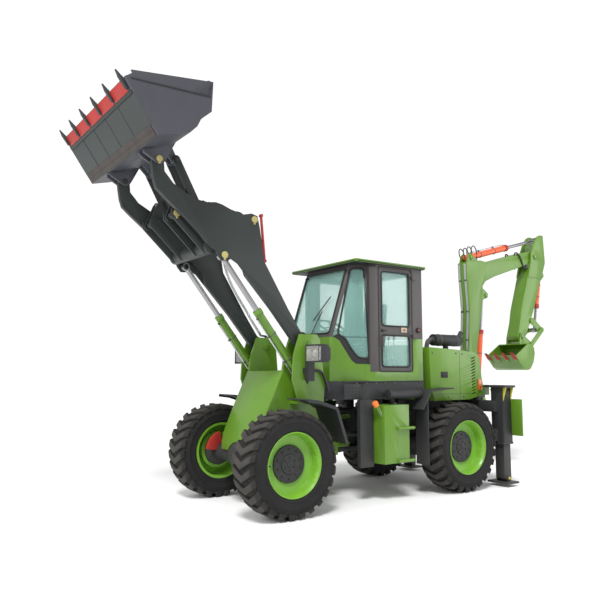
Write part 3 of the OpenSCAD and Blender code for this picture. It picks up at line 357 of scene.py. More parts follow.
RECIPES = {
    "body_green": lambda n: painted(n, tuple(paint().body), 0.30),
    "rim_green": lambda n: painted(n, tuple(paint().rim), 0.32, wear=0.7, dust=0.45),
    "arm_dark": lambda n: painted(n, tuple(paint().arm), 0.42, wear=0.8),
    "bucket_slate": lambda n: painted(n, tuple(paint().bucket), 0.45, wear=1.3),
    "floor_dark": lambda n: painted(n, (0.030, 0.038, 0.037), 0.50, wear=1.3),
    "signal_red": lambda n: painted(n, tuple(paint().red), 0.40, wear=1.4),
    "hoe_orange": lambda n: painted(n, tuple(paint().orange), 0.30, dust=0.6),
    "chassis_black": lambda n: painted(n, tuple(paint().chassis), 0.50),
    "cab_grey": lambda n: painted(n, tuple(paint().cab), 0.42, dust=0.5),
    "pin_yellow": lambda n: painted(n, (0.42, 0.36, 0.13), 0.42),
    "cap_orange": lambda n: moulded(n, (0.85, 0.20, 0.03), 0.40),
    "rubber_front": lambda n: rubber(n, HITCH_X + AXLE_X),
    "rubber_rear": lambda n: rubber(n, HITCH_X - AXLE_X),
    "rod_chrome": lambda n: plain_metal(n, (0.34, 0.34, 0.35), 0.20, stain=0.2),
    "pipe_steel": lambda n: plain_metal(n, (0.62, 0.63, 0.64), 0.22, 60, stain=0.3),
    "bolt_steel": lambda n: plain_metal(n, (0.42, 0.41, 0.40), 0.34, 70, stain=0.5),
    "wear_steel": lambda n: plain_metal(n, (0.066, 0.056, 0.050), 0.58, 40, stain=0.5, metallic=0.3),
    "engine_iron": lambda n: painted(n, (0.06, 0.06, 0.06), 0.6),
    "hose_black": lambda n: moulded(n, (0.018, 0.018, 0.019), 0.48, 260),
    "seal_black": lambda n: moulded(n, (0.010, 0.010, 0.011), 0.55, 200),
    "trim_plastic": lambda n: moulded(n, (0.022, 0.022, 0.024), 0.50),
    "seat_cloth": lambda n: woven(n, (0.040, 0.042, 0.050)),
    "window_glass": lambda n: window(n, tuple(paint().glass), 0.24),
    "hub_black": lambda n: painted(n, (0.013, 0.0135, 0.015), 0.46, wear=0.4, dust=0.25),
    "bolt_dark": lambda n: plain_metal(n, (0.16, 0.155, 0.15), 0.42, 70, stain=0.5, metallic=0.8),
    "yellow_paint": lambda n: painted(n, (0.55, 0.50, 0.045), 0.42, dust=0.5),
    "beige_plastic": lambda n: moulded(n, (0.42, 0.37, 0.27), 0.5),
    "lamp_orange": lambda n: lens(n, (0.60, 0.12, 0.015), 0.04),
    "lamp_clear": lambda n: window(n, (0.90, 0.88, 0.82), 0.10),
    "lamp_red": lambda n: lens(n, (0.50, 0.015, 0.015), 0.03),
    "studio": studio_floor,
}


# Modelling helpers

def clear():
    """Deselects everything, because an operator acts on all that is selected."""
    if bpy.context.object and bpy.context.object.mode != "OBJECT":
        bpy.ops.object.mode_set(mode="OBJECT")
    bpy.ops.object.select_all(action="DESELECT")


def pick(*pieces):
    """Selects these pieces alone, the first one active."""
    clear()
    for piece in pieces:
        piece.select_set(True)
    bpy.context.view_layer.objects.active = pieces[0]


def settle(name, body, finish_name, piece=None, smooth=35):
    """Names a finished piece, puts its place into its mesh, gives it its finish and lets it ride."""
    piece = piece or bpy.context.object
    pick(piece)
    bpy.ops.object.transform_apply(location=True, rotation=True, scale=True)
    if smooth:
        bpy.ops.object.shade_smooth_by_angle(angle=math.radians(smooth))
    piece.name = piece.data.name = name
    piece.data.materials.clear()
    piece.data.materials.append(finish(finish_name))
    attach(piece, body)
    return piece


def apply(piece, kind, **settings):
    """Adds a modifier, sets it and applies it."""
    pick(piece)
    modifier = piece.modifiers.new(kind.title(), kind)
    for key, value in settings.items():
        setattr(modifier, key, value)
    bpy.ops.object.modifier_apply(modifier=modifier.name)
    return piece


def round_edges(piece, width, segments=2, angle=35):
    return apply(piece, "BEVEL", width=width, segments=segments, limit_method="ANGLE",
        angle_limit=math.radians(angle), use_clamp_overlap=True)


def join(pieces):
    """Makes one piece out of several."""
    pick(*pieces)
    if len(pieces) > 1:
        bpy.ops.object.join()
    return bpy.context.object


def edit(piece, *steps):
    """Runs operators on the whole mesh in edit mode."""
    pick(piece)
    bpy.ops.object.mode_set(mode="EDIT")
    bpy.ops.mesh.select_all(action="SELECT")
    for step, settings in steps:
        step(**settings)
    bpy.ops.object.mode_set(mode="OBJECT")
    return piece


def block(low, high, edge=0.004):
    """A box between two corners with its edges rounded."""
    clear()
    size = [abs(b - a) for a, b in zip(low, high)]
    middle = [(a + b) / 2 for a, b in zip(low, high)]
    bpy.ops.mesh.primitive_cube_add(size=1, location=middle, scale=size)
    piece = bpy.context.object
    bpy.ops.object.transform_apply(location=False, rotation=False, scale=True)
    return round_edges(piece, min(edge, min(size) / 3)) if edge else piece


def bar(start, end, radius, sides=32, edge=0.003, tip=None):
    """A round bar or, with few sides, a bolt's head, from one point to another."""
    clear()
    start, end = Vector(start), Vector(end)
    turn = (end - start).to_track_quat("Z", "Y").to_euler()
    bpy.ops.mesh.primitive_cone_add(vertices=sides, radius1=radius, radius2=radius if tip is None else tip,
        depth=(end - start).length, location=(start + end) / 2, rotation=turn)
    piece = bpy.context.object
    return round_edges(piece, min(edge, radius / 3)) if edge else piece


def ring(centre, axis, radius, thick, sides=48, thick_sides=12):
    """A round ring, such as a seal or a steering wheel."""
    clear()
    turn = Vector(axis).to_track_quat("Z", "Y").to_euler()
    bpy.ops.mesh.primitive_torus_add(location=centre, rotation=turn, major_radius=radius, minor_radius=thick,
        major_segments=sides, minor_segments=thick_sides)
    return bpy.context.object


def plate(outline, low, high, edge=0.003):
    """A plate cut to an outline in side view, with its thickness across the machine."""
    clear()
    bpy.ops.mesh.primitive_circle_add(vertices=len(outline), fill_type="NGON")
    piece = bpy.context.object
    for corner, (a, b) in zip(piece.data.vertices, outline):
        corner.co = (a, low, b)
    edit(piece, (bpy.ops.mesh.extrude_region_move, {"TRANSFORM_OT_translate": {"value": (0, high - low, 0)}}),
        (bpy.ops.mesh.select_all, {"action": "SELECT"}), (bpy.ops.mesh.normals_make_consistent, {}))
    return round_edges(piece, edge) if edge else piece


def hose(points, radius, sides=10):
    """A hose or pipe along a smooth curve through given points."""
    clear()
    bpy.ops.curve.primitive_bezier_curve_add()
    curve = bpy.context.object
    spline = curve.data.splines[0]
    spline.bezier_points.add(len(points) - 2)
    for knot, place in zip(spline.bezier_points, points):
        knot.co = place
        knot.handle_left_type = knot.handle_right_type = "AUTO"
    curve.data.bevel_depth, curve.data.bevel_resolution = radius, max(1, sides // 4)
    curve.data.resolution_u, curve.data.use_fill_caps = 8, True
    bpy.ops.object.convert(target="MESH")
    piece = bpy.context.object
    return edit(piece, (bpy.ops.mesh.remove_doubles, {"threshold": WELD}),
        (bpy.ops.mesh.normals_make_consistent, {}))


def revolve(profile, centre, turns=64):
    """A body of revolution about Y from a profile of (radius, y) points."""
    clear()
    bpy.ops.mesh.primitive_circle_add(vertices=len(profile), fill_type="NOTHING")
    piece = bpy.context.object
    for corner, (r, y) in zip(piece.data.vertices, profile):
        corner.co = (r, y, 0)
    apply(piece, "SCREW", axis="Y", angle=math.tau, steps=turns, render_steps=turns, use_merge_vertices=True,
        merge_threshold=WELD)
    edit(piece, (bpy.ops.mesh.remove_doubles, {"threshold": WELD}),
        (bpy.ops.mesh.normals_make_consistent, {}))
    piece.location = centre
    pick(piece)
    bpy.ops.object.transform_apply(location=True, rotation=False, scale=False)
    return piece


def copies(piece, moves):
    """Copies of a piece, each with its own mesh, moved by one matrix each; the piece itself goes."""
    made = []
    for move in moves:
        other = piece.copy()
        other.data = piece.data.copy()
        bpy.context.scene.collection.objects.link(other)
        other.data.transform(piece.matrix_world)
        other.matrix_world = Matrix.Identity(4)
        other.data.transform(move)
        if move.determinant() < 0:
            other.data.flip_normals()
        made.append(other)
    bpy.data.objects.remove(piece)
    return made


def mirrored(piece):
    """The piece and its mirror image on the other side, as one piece."""
    return join(copies(piece, [Matrix.Identity(4), Matrix.Scale(-1, 4, (0, 1, 0))]))


def bolts(places, axis, radius):
    """Hexagon heads on washers at these places, standing along an axis."""
    axis = Vector(axis).normalized()
    washer = bar((0, 0, 0), axis * radius * 0.22, radius * 1.25, sides=16, edge=0)
    head = bar(axis * radius * 0.2, axis * radius * 0.95, radius, sides=6, edge=radius * 0.12)
    one = join([washer, head])
    return join(copies(one, [Matrix.Translation(p) for p in places]))


def at(x, z, y=0.0):
    """A point measured from the articulation pin, in the frame."""
    return Vector((x + HITCH_X, y, z))


def rounded(node, finish_name, width=None):
    """A copy of a node with its edges rounded, which stands for it."""
    source = frame["nodes"][node]
    body = source["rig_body"]
    pick(source)
    bpy.ops.object.duplicate()
    piece = bpy.context.object
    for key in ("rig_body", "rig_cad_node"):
        del piece[key]
    piece.parent = None
    edit(piece, (bpy.ops.mesh.remove_doubles, {"threshold": 2 * WELD}),
        (bpy.ops.mesh.dissolve_limited, {"angle_limit": math.radians(1.0)}))
    round_edges(piece, width or sizes().edge, 2, 30)
    settle(node + "_skin", body, finish_name, piece, smooth=30)
    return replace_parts(piece, node)


class DressOperator:
    """What every operator here shares."""
    bl_options = {"REGISTER", "UNDO"}


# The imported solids

# Nodes that only get rounded edges, with the finish of each
STEEL = {
    "rear_frame": "chassis_black", "engine_block": "engine_iron", "rear_axle": "chassis_black",
    "cab_body": "body_green", "cab_frame": "cab_grey", "cab_roof": "body_green", "engine_hood": "body_green",
    "exhaust_muffler": "chassis_black", "side_tanks": "body_green", "side_decks": "chassis_black",
    "rear_fenders": "chassis_black", "backhoe_frame": "chassis_black", "door_left": "cab_grey",
    "door_right": "cab_grey", "front_frame": "body_green", "front_axle": "chassis_black",
    "front_fenders": "chassis_black", "rim_front_left": "rim_green", "rim_front_right": "rim_green",
    "rim_rear_left": "rim_green", "rim_rear_right": "rim_green", "steer_barrel_left": "chassis_black",
    "steer_barrel_right": "chassis_black", "loader_arms": "arm_dark", "lift_barrels": "body_green",
    "tilt_barrels": "arm_dark", "bell_cranks": "arm_dark", "tilt_links": "arm_dark",
    "loader_bucket": "bucket_slate", "swing_post": "chassis_black", "boom": "body_green",
    "boom_barrel": "hoe_orange", "dipper": "body_green", "dipper_barrel": "hoe_orange",
    "hoe_bucket": "body_green", "rear_boards": "body_green", "rear_lamps": "lamp_orange",
    "headlamps": "chassis_black", "hoe_barrel": "hoe_orange", "hoe_rocker": "body_green",
    "hoe_link": "body_green", "stabiliser_left": "chassis_black", "stabiliser_right": "chassis_black",
}
# Those with thin sheets get smaller edges
THIN = {"rear_fenders": 0.002, "front_fenders": 0.002, "cab_frame": 0.003}
# Nodes that stay as they are and only get a finish
KEPT = {
    "steer_rod_left": "rod_chrome", "steer_rod_right": "rod_chrome", "lift_rods": "rod_chrome",
    "tilt_rods": "rod_chrome", "boom_rod": "rod_chrome", "dipper_rod": "rod_chrome", "hoe_rod": "rod_chrome",
    "cab_glass": "window_glass", "door_glass_left": "window_glass", "door_glass_right": "window_glass",
}


class LOADER_OT_steel(DressOperator, bpy.types.Operator):
    """Rounds the edges of every plate, casting and cylinder and paints them."""
    bl_idname = "loader.steel"
    bl_label = "Steelwork"

    def execute(self, context):
        for node, finish_name in STEEL.items():
            rounded(node, finish_name, THIN.get(node))
        for node, finish_name in KEPT.items():
            solid = frame["nodes"][node]
            solid.data.materials.clear()
            solid.data.materials.append(finish(finish_name))
        return {"FINISHED"}


# Wheels

def loft(sections, edge=0.0):
    """A body drawn out from section to section, all with as many corners."""
    clear()
    bpy.ops.mesh.primitive_circle_add(vertices=len(sections[0]), fill_type="NGON")
    piece = bpy.context.object
    for corner, place in zip(piece.data.vertices, sections[0]):
        corner.co = place
    bpy.ops.object.mode_set(mode="EDIT")
    bpy.ops.mesh.select_all(action="SELECT")
    for before, after in zip(sections, sections[1:]):
        bpy.ops.mesh.extrude_region_move()
        bpy.ops.object.mode_set(mode="OBJECT")
        ends = [v for v in piece.data.vertices if v.select]
        for old, new in zip(before, after):
            corner = min(ends, key=lambda v: (v.co - Vector(old)).length)
            ends.remove(corner)
            corner.co = new
        bpy.ops.object.mode_set(mode="EDIT")
    bpy.ops.mesh.select_all(action="SELECT")
    bpy.ops.mesh.normals_make_consistent()
    bpy.ops.object.mode_set(mode="OBJECT")
    return round_edges(piece, edge) if edge else piece


def tyre_carcass():
    """The tyre under its lugs: beads, bulged walls with raised rings, shoulders and crown."""
    base = TYRE_R - LUG_H
    half = [
        (RIM_R - 0.015, 0.165), (RIM_R + 0.002, 0.176), (RIM_R + 0.010, 0.190), (RIM_R + 0.022, 0.198),
        (RIM_R + 0.026, 0.2025), (RIM_R + 0.036, 0.2030), (RIM_R + 0.040, 0.1995), (RIM_R + 0.070, 0.2045),
        (RIM_R + 0.100, 0.2055), (RIM_R + 0.104, 0.2085), (RIM_R + 0.112, 0.2085), (RIM_R + 0.116, 0.2050),
        (RIM_R + 0.140, 0.2010), (base - 0.036, 0.1900), (base - 0.016, 0.1760), (base - 0.004, 0.1500),
        (base, 0.1000), (base + 0.002, 0.0400),
    ]
    profile = half + [(r, -y) for r, y in reversed(half)]
    return revolve(profile, (0, 0, 0), 96)


def tyre_lug():
    """One V-shaped bar that crosses the whole crown and steps down both shoulders."""
    # Across the tyre, along its rim, half width at the foot and at the top, height of the top and of the foot
    half = [
        (0.000, 0.050, 0.043, 0.037, 0.5900, 0.545),
        (0.070, 0.017, 0.042, 0.036, 0.5900, 0.545),
        (0.140, -0.016, 0.042, 0.036, 0.5895, 0.545),
        (0.172, -0.032, 0.042, 0.036, 0.5800, 0.535),
        (0.196, -0.043, 0.043, 0.037, 0.5560, 0.515),
        (0.208, -0.049, 0.043, 0.038, 0.5300, 0.500),
    ]
    stations = [(-y, *rest) for y, *rest in reversed(half[1:])] + half
    sections = []
    for y, x, foot, top, high, low in stations:
        sink = math.copysign(0.024, y) if abs(y) > 0.18 else 0.0
        sections.append([(x - foot, y - sink, low), (x + foot, y - sink, low), (x + top, y, high),
            (x - top, y, high)])
    return loft(sections, 0.0035)


class LOADER_OT_tyres(DressOperator, bpy.types.Operator):
    """Makes four tyres: a carcass with raised rings and the V-shaped bars of an industrial tread."""
    bl_idname = "loader.tyres"
    bl_label = "Tyres"

    def execute(self, context):
        count = sizes().lugs
        pitch = math.tau / count
        bars = copies(tyre_lug(), [Matrix.Rotation(i * pitch, 4, "Y") for i in range(count)])
        pattern = join([tyre_carcass()] + bars)
        moves = [Matrix.Translation((x + HITCH_X, side * TRACK_HALF, TYRE_R)) for name, x, side in WHEELS]
        for (name, x, side), tyre in zip(WHEELS, copies(pattern, moves)):
            settle("tyre_" + name + "_rubber", "wheel_" + name, "rubber_front" if x > 0 else "rubber_rear",
                tyre)
            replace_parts(tyre, "tyre_" + name)
        return {"FINISHED"}


class LOADER_OT_hubs(DressOperator, bpy.types.Operator):
    """Adds the hub covers, wheel nuts, valves and lock rings to the rims."""
    bl_idname = "loader.hubs"
    bl_label = "Hubs"

    def execute(self, context):
        for name, x, side in WHEELS:
            body = "wheel_" + name
            centre = Vector((x + HITCH_X, side * TRACK_HALF, TYRE_R))
            turn = Matrix.Translation(centre) @ Matrix.Scale(side, 4, (0, 1, 0))

            def place(piece):
                return copies(piece, [turn])[0]

            cover = revolve([(0.001, 0.0865), (0.100, 0.0865), (0.1065, 0.0855), (0.1125, 0.0745),
                (0.2035, 0.0705), (0.2075, 0.067), (0.2075, 0.049), (0.200, 0.046), (0.001, 0.046)],
                (0, 0, 0), 72)
            settle(body + "_hub_cover", body, "hub_black", place(cover))
            around = [Vector((r * math.cos(a), y, r * math.sin(a)))
                for r, y, n in ((0.070, 0.0865, 6), (0.160, 0.0722, 10)) for a in
                [math.tau * (i + 0.5) / n for i in range(n)]]
            settle(body + "_nuts", body, "hub_black", place(bolts(around, (0, 1, 0), 0.0105)), smooth=25)
            cap = revolve([(0.001, 0.0955), (0.030, 0.0950), (0.037, 0.0915), (0.039, 0.0865), (0.039, 0.080),
                (0.001, 0.080)], (0, 0, 0), 40)
            settle(body + "_hub_cap", body, "hub_black", place(cap))
            lip = ring((0, 0.186, 0), (0, 1, 0), RIM_R - 0.005, 0.006, 96)
            flange = ring((0, 0.048, 0), (0, 1, 0), 0.318, 0.006, 96)
            settle(body + "_lock_ring", body, "rim_green", place(join([lip, flange])))
            stem = join([bar((0.262, 0.030, 0), (0.275, 0.095, 0), 0.006, 16), bar((0.275, 0.09, 0),
                (0.278, 0.110, 0), 0.009, 16, 0.001)])
            settle(body + "_valve", body, "hose_black", place(stem))
        return {"FINISHED"}


# Cab

# Half the width over the doors, and the middle pillar's place along the cab
CAB_HALF, PILLAR_X = 0.680, 0.032
# How far from a corner a seal starts to turn
SEAL_CORNER = 0.05
# Half width and height of the roof's gutter
GUTTER_Y, GUTTER_Z = 0.715, 3.012
# A cushion's rim height as a share of its middle's, depth of its channels, and pull of its sides
PAD_RIM, PAD_CHANNEL, PAD_WAIST = 0.60, 0.16, 0.035
# Height of the cab's floor
CAB_FLOOR_Z = 1.512


def seal_loop(points, radius):
    """A rubber seal that follows a closed outline, with round corners."""
    clear()
    bpy.ops.curve.primitive_bezier_curve_add()
    curve = bpy.context.object
    spline = curve.data.splines[0]
    corners = []
    for before, here, after in zip(points[-1:] + points[:-1], points, points[1:] + points[:1]):
        here = Vector(here)
        for other in (before, after):
            reach = min(SEAL_CORNER, (Vector(other) - here).length / 3)
            corners.append(here + (Vector(other) - here).normalized() * reach)
    spline.bezier_points.add(len(corners) - 2)
    for number, (knot, place) in enumerate(zip(spline.bezier_points, corners)):
        knot.co = place
        centre = Vector(points[number // 2])
        neighbour = corners[number - 1] if number % 2 == 0 else corners[(number + 1) % len(corners)]
        straight = place + (neighbour - place) / 3
        curved = place + (centre - place) * 0.6
        knot.handle_left_type = knot.handle_right_type = "FREE"
        knot.handle_left, knot.handle_right = (straight, curved) if number % 2 == 0 else (curved, straight)
    spline.use_cyclic_u = True
    curve.data.bevel_depth, curve.data.bevel_resolution, curve.data.resolution_u = radius, 2, 4
    bpy.ops.object.convert(target="MESH")
    piece = bpy.context.object
    return edit(piece, (bpy.ops.mesh.remove_doubles, {"threshold": WELD}),
        (bpy.ops.mesh.normals_make_consistent, {}))


def box_loop(x0, x1, z0, z1, y):
    """Corners of an upright rectangle in a side wall."""
    return [at(x0, z0, y), at(x1, z0, y), at(x1, z1, y), at(x0, z1, y)]


class LOADER_OT_cab(DressOperator, bpy.types.Operator):
    """Adds the seals, locks and handles of windows and doors, the roof's gutter and plates, and the wiper."""
    bl_idname = "loader.cab"
    bl_label = "Cab fittings"

    def execute(self, context):
        seal = sizes().seal / 2
        windscreen = [at(0.484, 2.088, 0.428), at(0.484, 2.088, -0.428), at(0.203, 2.938, -0.428),
            at(0.203, 2.938, 0.428)]
        rear = [at(-0.940, 1.962, 0.568), at(-0.940, 1.962, -0.568), at(-0.940, 2.938, -0.568),
            at(-0.940, 2.938, 0.568)]
        settle("windscreen_seal", "chassis", "seal_black", seal_loop(windscreen, seal))
        settle("rear_window_seal", "chassis", "seal_black", seal_loop(rear, seal))

        # Quarter windows: their seals lie in the slanting side walls
        def wall_y(x, z):
            share = min(1.0, max(0.0, (z - 2.04) / 0.96))
            nose, shoulder = 0.500 - 0.325 * share, 0.020 - 0.110 * share
            along = min(1.0, max(0.0, (nose - x) / (nose - shoulder)))
            return 0.450 + (CAB_HALF - 0.450) * along

        def wall_point(x, z, out):
            return at(x, z, wall_y(x, z) + out)

        def wall_strip(first, second, out, sink):
            """A strip between two rows of places in the wall, from out of it to sunk into it."""
            return loft([[wall_point(*a, out), wall_point(*b, out), wall_point(*b, -sink),
                wall_point(*a, -sink)] for a, b in zip(first, second)])

        # The green wall's edge, and the outer and inner edge of the window's black band
        edge = [(0.470, 2.040), (0.402, 1.880), (0.300, 1.768), (0.232, 1.748)]
        outer = [(0.462, 2.046), (0.384, 1.996), (0.313, 1.867), (0.242, 1.745), (0.189, 1.700),
            (PILLAR_X, 1.697)]
        inner = [(0.400, 2.075), (0.315, 2.026), (0.257, 1.913), (0.196, 1.815), (0.140, 1.772),
            (PILLAR_X, 1.769)]
        outline = inner + [(PILLAR_X, 2.943), (0.166, 2.943)]
        quarter = seal_loop([wall_point(x, z, 0) for x, z in outline], seal)
        band = wall_strip(outer, inner, 0.003, 0.012)
        settle("quarter_window_seals", "chassis", "seal_black", mirrored(join([quarter, band])))
        corner = wall_strip(edge, outer, 0.001, 0.010)
        settle("quarter_corners", "chassis", "body_green", mirrored(corner))
        post = block(at(-0.130, 1.600, CAB_HALF - 0.006), at(PILLAR_X - 0.012, 2.960, CAB_HALF + 0.0015),
            0.002)
        settle("door_posts", "chassis", "cab_grey", mirrored(post))
        strip = block(at(PILLAR_X - 0.013, 1.697, CAB_HALF - 0.006),
            at(PILLAR_X + 0.020, 2.950, CAB_HALF + 0.003), 0.003)
        settle("door_post_seals", "chassis", "seal_black", mirrored(strip))

        for side_name, side in SIDES:
            body = "door_" + side_name
            y = side * (CAB_HALF + 0.001)
            low = seal_loop(box_loop(-0.687, -0.188, 1.664, 2.073, y), seal * 0.8)
            high = seal_loop(box_loop(-0.687, -0.188, 2.197, 2.913, y), seal * 0.8)
            settle(body + "_seals", body, "seal_black", join([low, high]))
            rim = seal_loop(box_loop(-0.740, -0.135, 1.602, 2.973, y), 0.006)
            settle(body + "_gasket", "chassis", "seal_black", rim)
            lock = block(at(-0.632, 2.118, y), at(-0.528, 2.184, y + side * 0.010), 0.006)
            settle(body + "_lock_plate", body, "beige_plastic", lock)
            button = bar(at(-0.582, 2.151, y + side * 0.008), at(-0.582, 2.151, y + side * 0.016), 0.014, 24,
                0.003)
            settle(body + "_lock_button", body, "signal_red", button)
            latch = join([block(at(-0.262, 2.122, y + side * 0.020), at(-0.180, 2.142, y + side * 0.034),
                0.006), bar(at(-0.192, 2.132, y), at(-0.192, 2.132, y + side * 0.028), 0.016)])
            settle(body + "_handle", body, "trim_plastic", latch)
            rail = hose([at(-0.60, 2.19, y - side * 0.045), at(-0.60, 2.19, y - side * 0.085),
                at(-0.40, 2.20, y - side * 0.10), at(-0.24, 2.19, y - side * 0.085),
                at(-0.24, 2.19, y - side * 0.045)], 0.012)
            settle(body + "_pull", body, "trim_plastic", rail)

        # Gutter round the roof, a dark plate under it and a liner inside
        corners = ((0.270, 1), (0.270, -1), (-0.985, -1), (-0.985, 1))
        gutter = [at(x, GUTTER_Z, end * GUTTER_Y) for x, end in corners]
        settle("roof_gutter", "chassis", "seal_black", seal_loop(gutter, 0.007))
        under = block(at(-0.975, 2.994, -0.705), at(0.262, 2.9995, 0.705), 0.001)
        settle("roof_underside", "chassis", "seal_black", under)
        liner = block(at(-0.87, 2.962, -0.60), at(0.02, 2.990, 0.60), 0.010)
        settle("roof_liner", "chassis", "trim_plastic", liner)

        # Wiper on the windscreen
        arm = hose([at(0.504, 2.06, 0.05), at(0.470, 2.17, 0.09), at(0.395, 2.39, 0.17)], 0.007, 8)
        blade = bar(at(0.436, 2.27, 0.02), at(0.330, 2.58, 0.27), 0.008, 8)
        foot = bar(at(0.485, 2.055, 0.05), at(0.512, 2.062, 0.05), 0.020, 20)
        settle("wiper", "chassis", "trim_plastic", join([arm, blade, foot]))

        # A round socket with a red button on the pillar behind each door
        spot, out = (-0.849, 2.156), CAB_HALF + 0.016
        socket = join([bar(at(*spot, CAB_HALF - 0.002), at(*spot, out), 0.036, 32),
            ring(at(*spot, out), (0, 1, 0), 0.027, 0.006, 32)])
        settle("pillar_sockets", "chassis", "seal_black", mirrored(socket))
        button = bar(at(*spot, CAB_HALF + 0.012), at(*spot, CAB_HALF + 0.022), 0.015, 24, 0.004)
        settle("pillar_buttons", "chassis", "lamp_red", mirrored(button))
        return {"FINISHED"}


class LOADER_OT_inside(DressOperator, bpy.types.Operator):
    """Furnishes the cab: padded seat, steering wheel, dashboard, levers, pedals and floor mat."""
    bl_idname = "loader.inside"
    bl_label = "Cab inside"

    def execute(self, context):
        base = join([block(at(-0.60, CAB_FLOOR_Z, -0.165), at(-0.26, 1.56, 0.165), 0.010),
            block(at(-0.55, 1.55, -0.12), at(-0.31, 1.83, 0.12), 0.014),
            block(at(-0.64, 1.83, -0.20), at(-0.24, 1.868, 0.20), 0.012)])
        settle("seat_base", "chassis", "trim_plastic", base)
        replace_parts(base, "operator_seat")
        cushion = padded_block(at(-0.675, 1.872, -0.232), at(-0.205, 1.985, 0.232), 0.0, at(-0.44, 1.9, 0))
        back = padded_block(at(-0.050, 0.0, -0.222) - Vector((HITCH_X, 0, 0)), Vector((0.060, 0.222, 0.560)),
            math.radians(-5.1), at(-0.655, 1.990, 0))
        for name, pad in (("seat_cushion", cushion), ("seat_back", back)):
            settle(name, "chassis", "seat_cloth", pad, smooth=60)

        column = loft([[at(x0, z, -w), at(x1, z, -w), at(x1, z, w), at(x0, z, w)] for x0, x1, w, z in (
            (0.130, 0.298, 0.088, CAB_FLOOR_Z), (0.136, 0.292, 0.084, 1.700), (0.150, 0.272, 0.078, 1.900),
            (0.156, 0.268, 0.084, 1.960), (0.166, 0.262, 0.074, 2.008))], 0.008)
        shaft = bar(at(0.215, 1.98), at(0.110, 2.19), 0.026, 24)
        tilt = Matrix.Translation(at(0.105, 2.200)) @ Matrix.Rotation(math.radians(-27), 4, "Y")
        rim = ring((0, 0, 0), (0, 0, 1), 0.184, 0.0145, 48, 12)
        spoke = loft([[(x, -w, low), (x, w, low), (x, w, high), (x, -w, high)]
            for x, w, low, high in ((0.020, 0.014, -0.006, 0.008), (0.178, 0.010, -0.004, 0.004))], 0.003)
        spokes = copies(spoke, [Matrix.Rotation(math.radians(a), 4, "Z") for a in (30, 150, 270)])
        boss = bar((0, 0, -0.012), (0, 0, 0.016), 0.036, 32, 0.005)
        wheel = copies(join([rim, boss] + spokes), [tilt])[0]
        console = settle("steering_wheel", "chassis", "trim_plastic", join([column, shaft, wheel]))
        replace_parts(console, "steering_console")

        levers, knobs = [], []
        # Two levers beside the seat and four behind it: place, height and how far each leans
        rows = [(-0.05, -0.36, 1.95, 0.03), (-0.12, -0.36, 1.95, 0.02)]
        rows += [(-0.86, y, 2.0, -0.02) for y in (0.16, 0.05, -0.06, -0.17)]
        for x, y, z, reach in rows:
            top = x + reach * 2
            levers.append(hose([at(x, z - 0.25, y), at(x + reach, z - 0.1, y), at(top, z + 0.05, y)], 0.007,
                8))
            knobs.append(bar(at(top, z + 0.045, y), at(top, z + 0.10, y), 0.016, 20, 0.006, tip=0.020))
        stands = [block(at(-0.19, CAB_FLOOR_Z, -0.44), at(0.03, 1.72, -0.29), 0.012),
            block(at(-0.90, CAB_FLOOR_Z, -0.26), at(-0.79, 1.78, 0.25), 0.012)]
        settle("lever_stands", "chassis", "trim_plastic", join(stands + knobs))
        settle("levers", "chassis", "pipe_steel", join(levers))
        pedals = [block(at(0.30, 1.545, y - 0.035), at(0.315, 1.64, y + 0.035), 0.004)
            for y in (-0.22, -0.12, 0.2)]
        settle("pedals", "chassis", "hose_black", join(pedals))
        dash = join([block(at(0.200, 1.990, -0.360), at(0.400, 2.112, 0.360), 0.020),
            block(at(0.270, 1.760, -0.240), at(0.380, 1.995, 0.240), 0.012)])
        settle("dashboard", "chassis", "beige_plastic", dash)
        mat = block(at(-0.88, 1.5105, -0.62), at(0.02, 1.518, 0.62), 0.003)
        settle("floor_mat", "chassis", "hose_black", mat)
        return {"FINISHED"}


def padded_block(low, high, turn, pivot):
    """A cushion: a crowned pad with a piped seam and sewn channels, turned about a pivot."""
    if turn:
        low, high = Vector(low), Vector(high)
    clear()
    size = [b - a for a, b in zip(low, high)]
    middle = [(a + b) / 2 for a, b in zip(low, high)]
    bpy.ops.mesh.primitive_cube_add(size=1, location=middle, scale=size)
    pad = bpy.context.object
    bpy.ops.object.transform_apply(location=True, rotation=False, scale=True)
    edit(pad, (bpy.ops.mesh.subdivide, {"number_cuts": 11}))
    thin = size.index(min(size))
    for corner in pad.data.vertices:
        offset = [(corner.co[i] - middle[i]) / (size[i] / 2) for i in range(3)]
        across = [abs(offset[i]) for i in range(3) if i != thin]
        crown = (1 - across[0] ** 6) * (1 - across[1] ** 6)
        seam = 1 - PAD_CHANNEL * math.exp(-((abs(offset[1]) - 0.52) / 0.07) ** 2)
        height = PAD_RIM + (1 - PAD_RIM) * crown
        corner.co[thin] = middle[thin] + (corner.co[thin] - middle[thin]) * height * seam
        for i in range(3):
            if i != thin:
                pull = PAD_WAIST * offset[thin] ** 2
                corner.co[i] = middle[i] + (corner.co[i] - middle[i]) * (1 - pull)
    apply(pad, "SUBSURF", levels=1, render_levels=1)
    if turn:
        pad.data.transform(Matrix.Translation(pivot) @ Matrix.Rotation(turn, 4, "Y"))
    return pad


# Fittings that several groups share

# How far a pin's head and its grease point stand out
PIN_STAND, DOT_STAND = 0.010, 0.015


def along(base, eye, y, reach, off=0.0):
    """A point on the line from a cylinder's base pin to its eye, moved square to that line by off."""
    run = Vector((eye[0] - base[0], 0, eye[1] - base[1])).normalized()
    return at(base[0], base[1], y) + run * reach + Vector((-run.z, 0, run.x)) * off


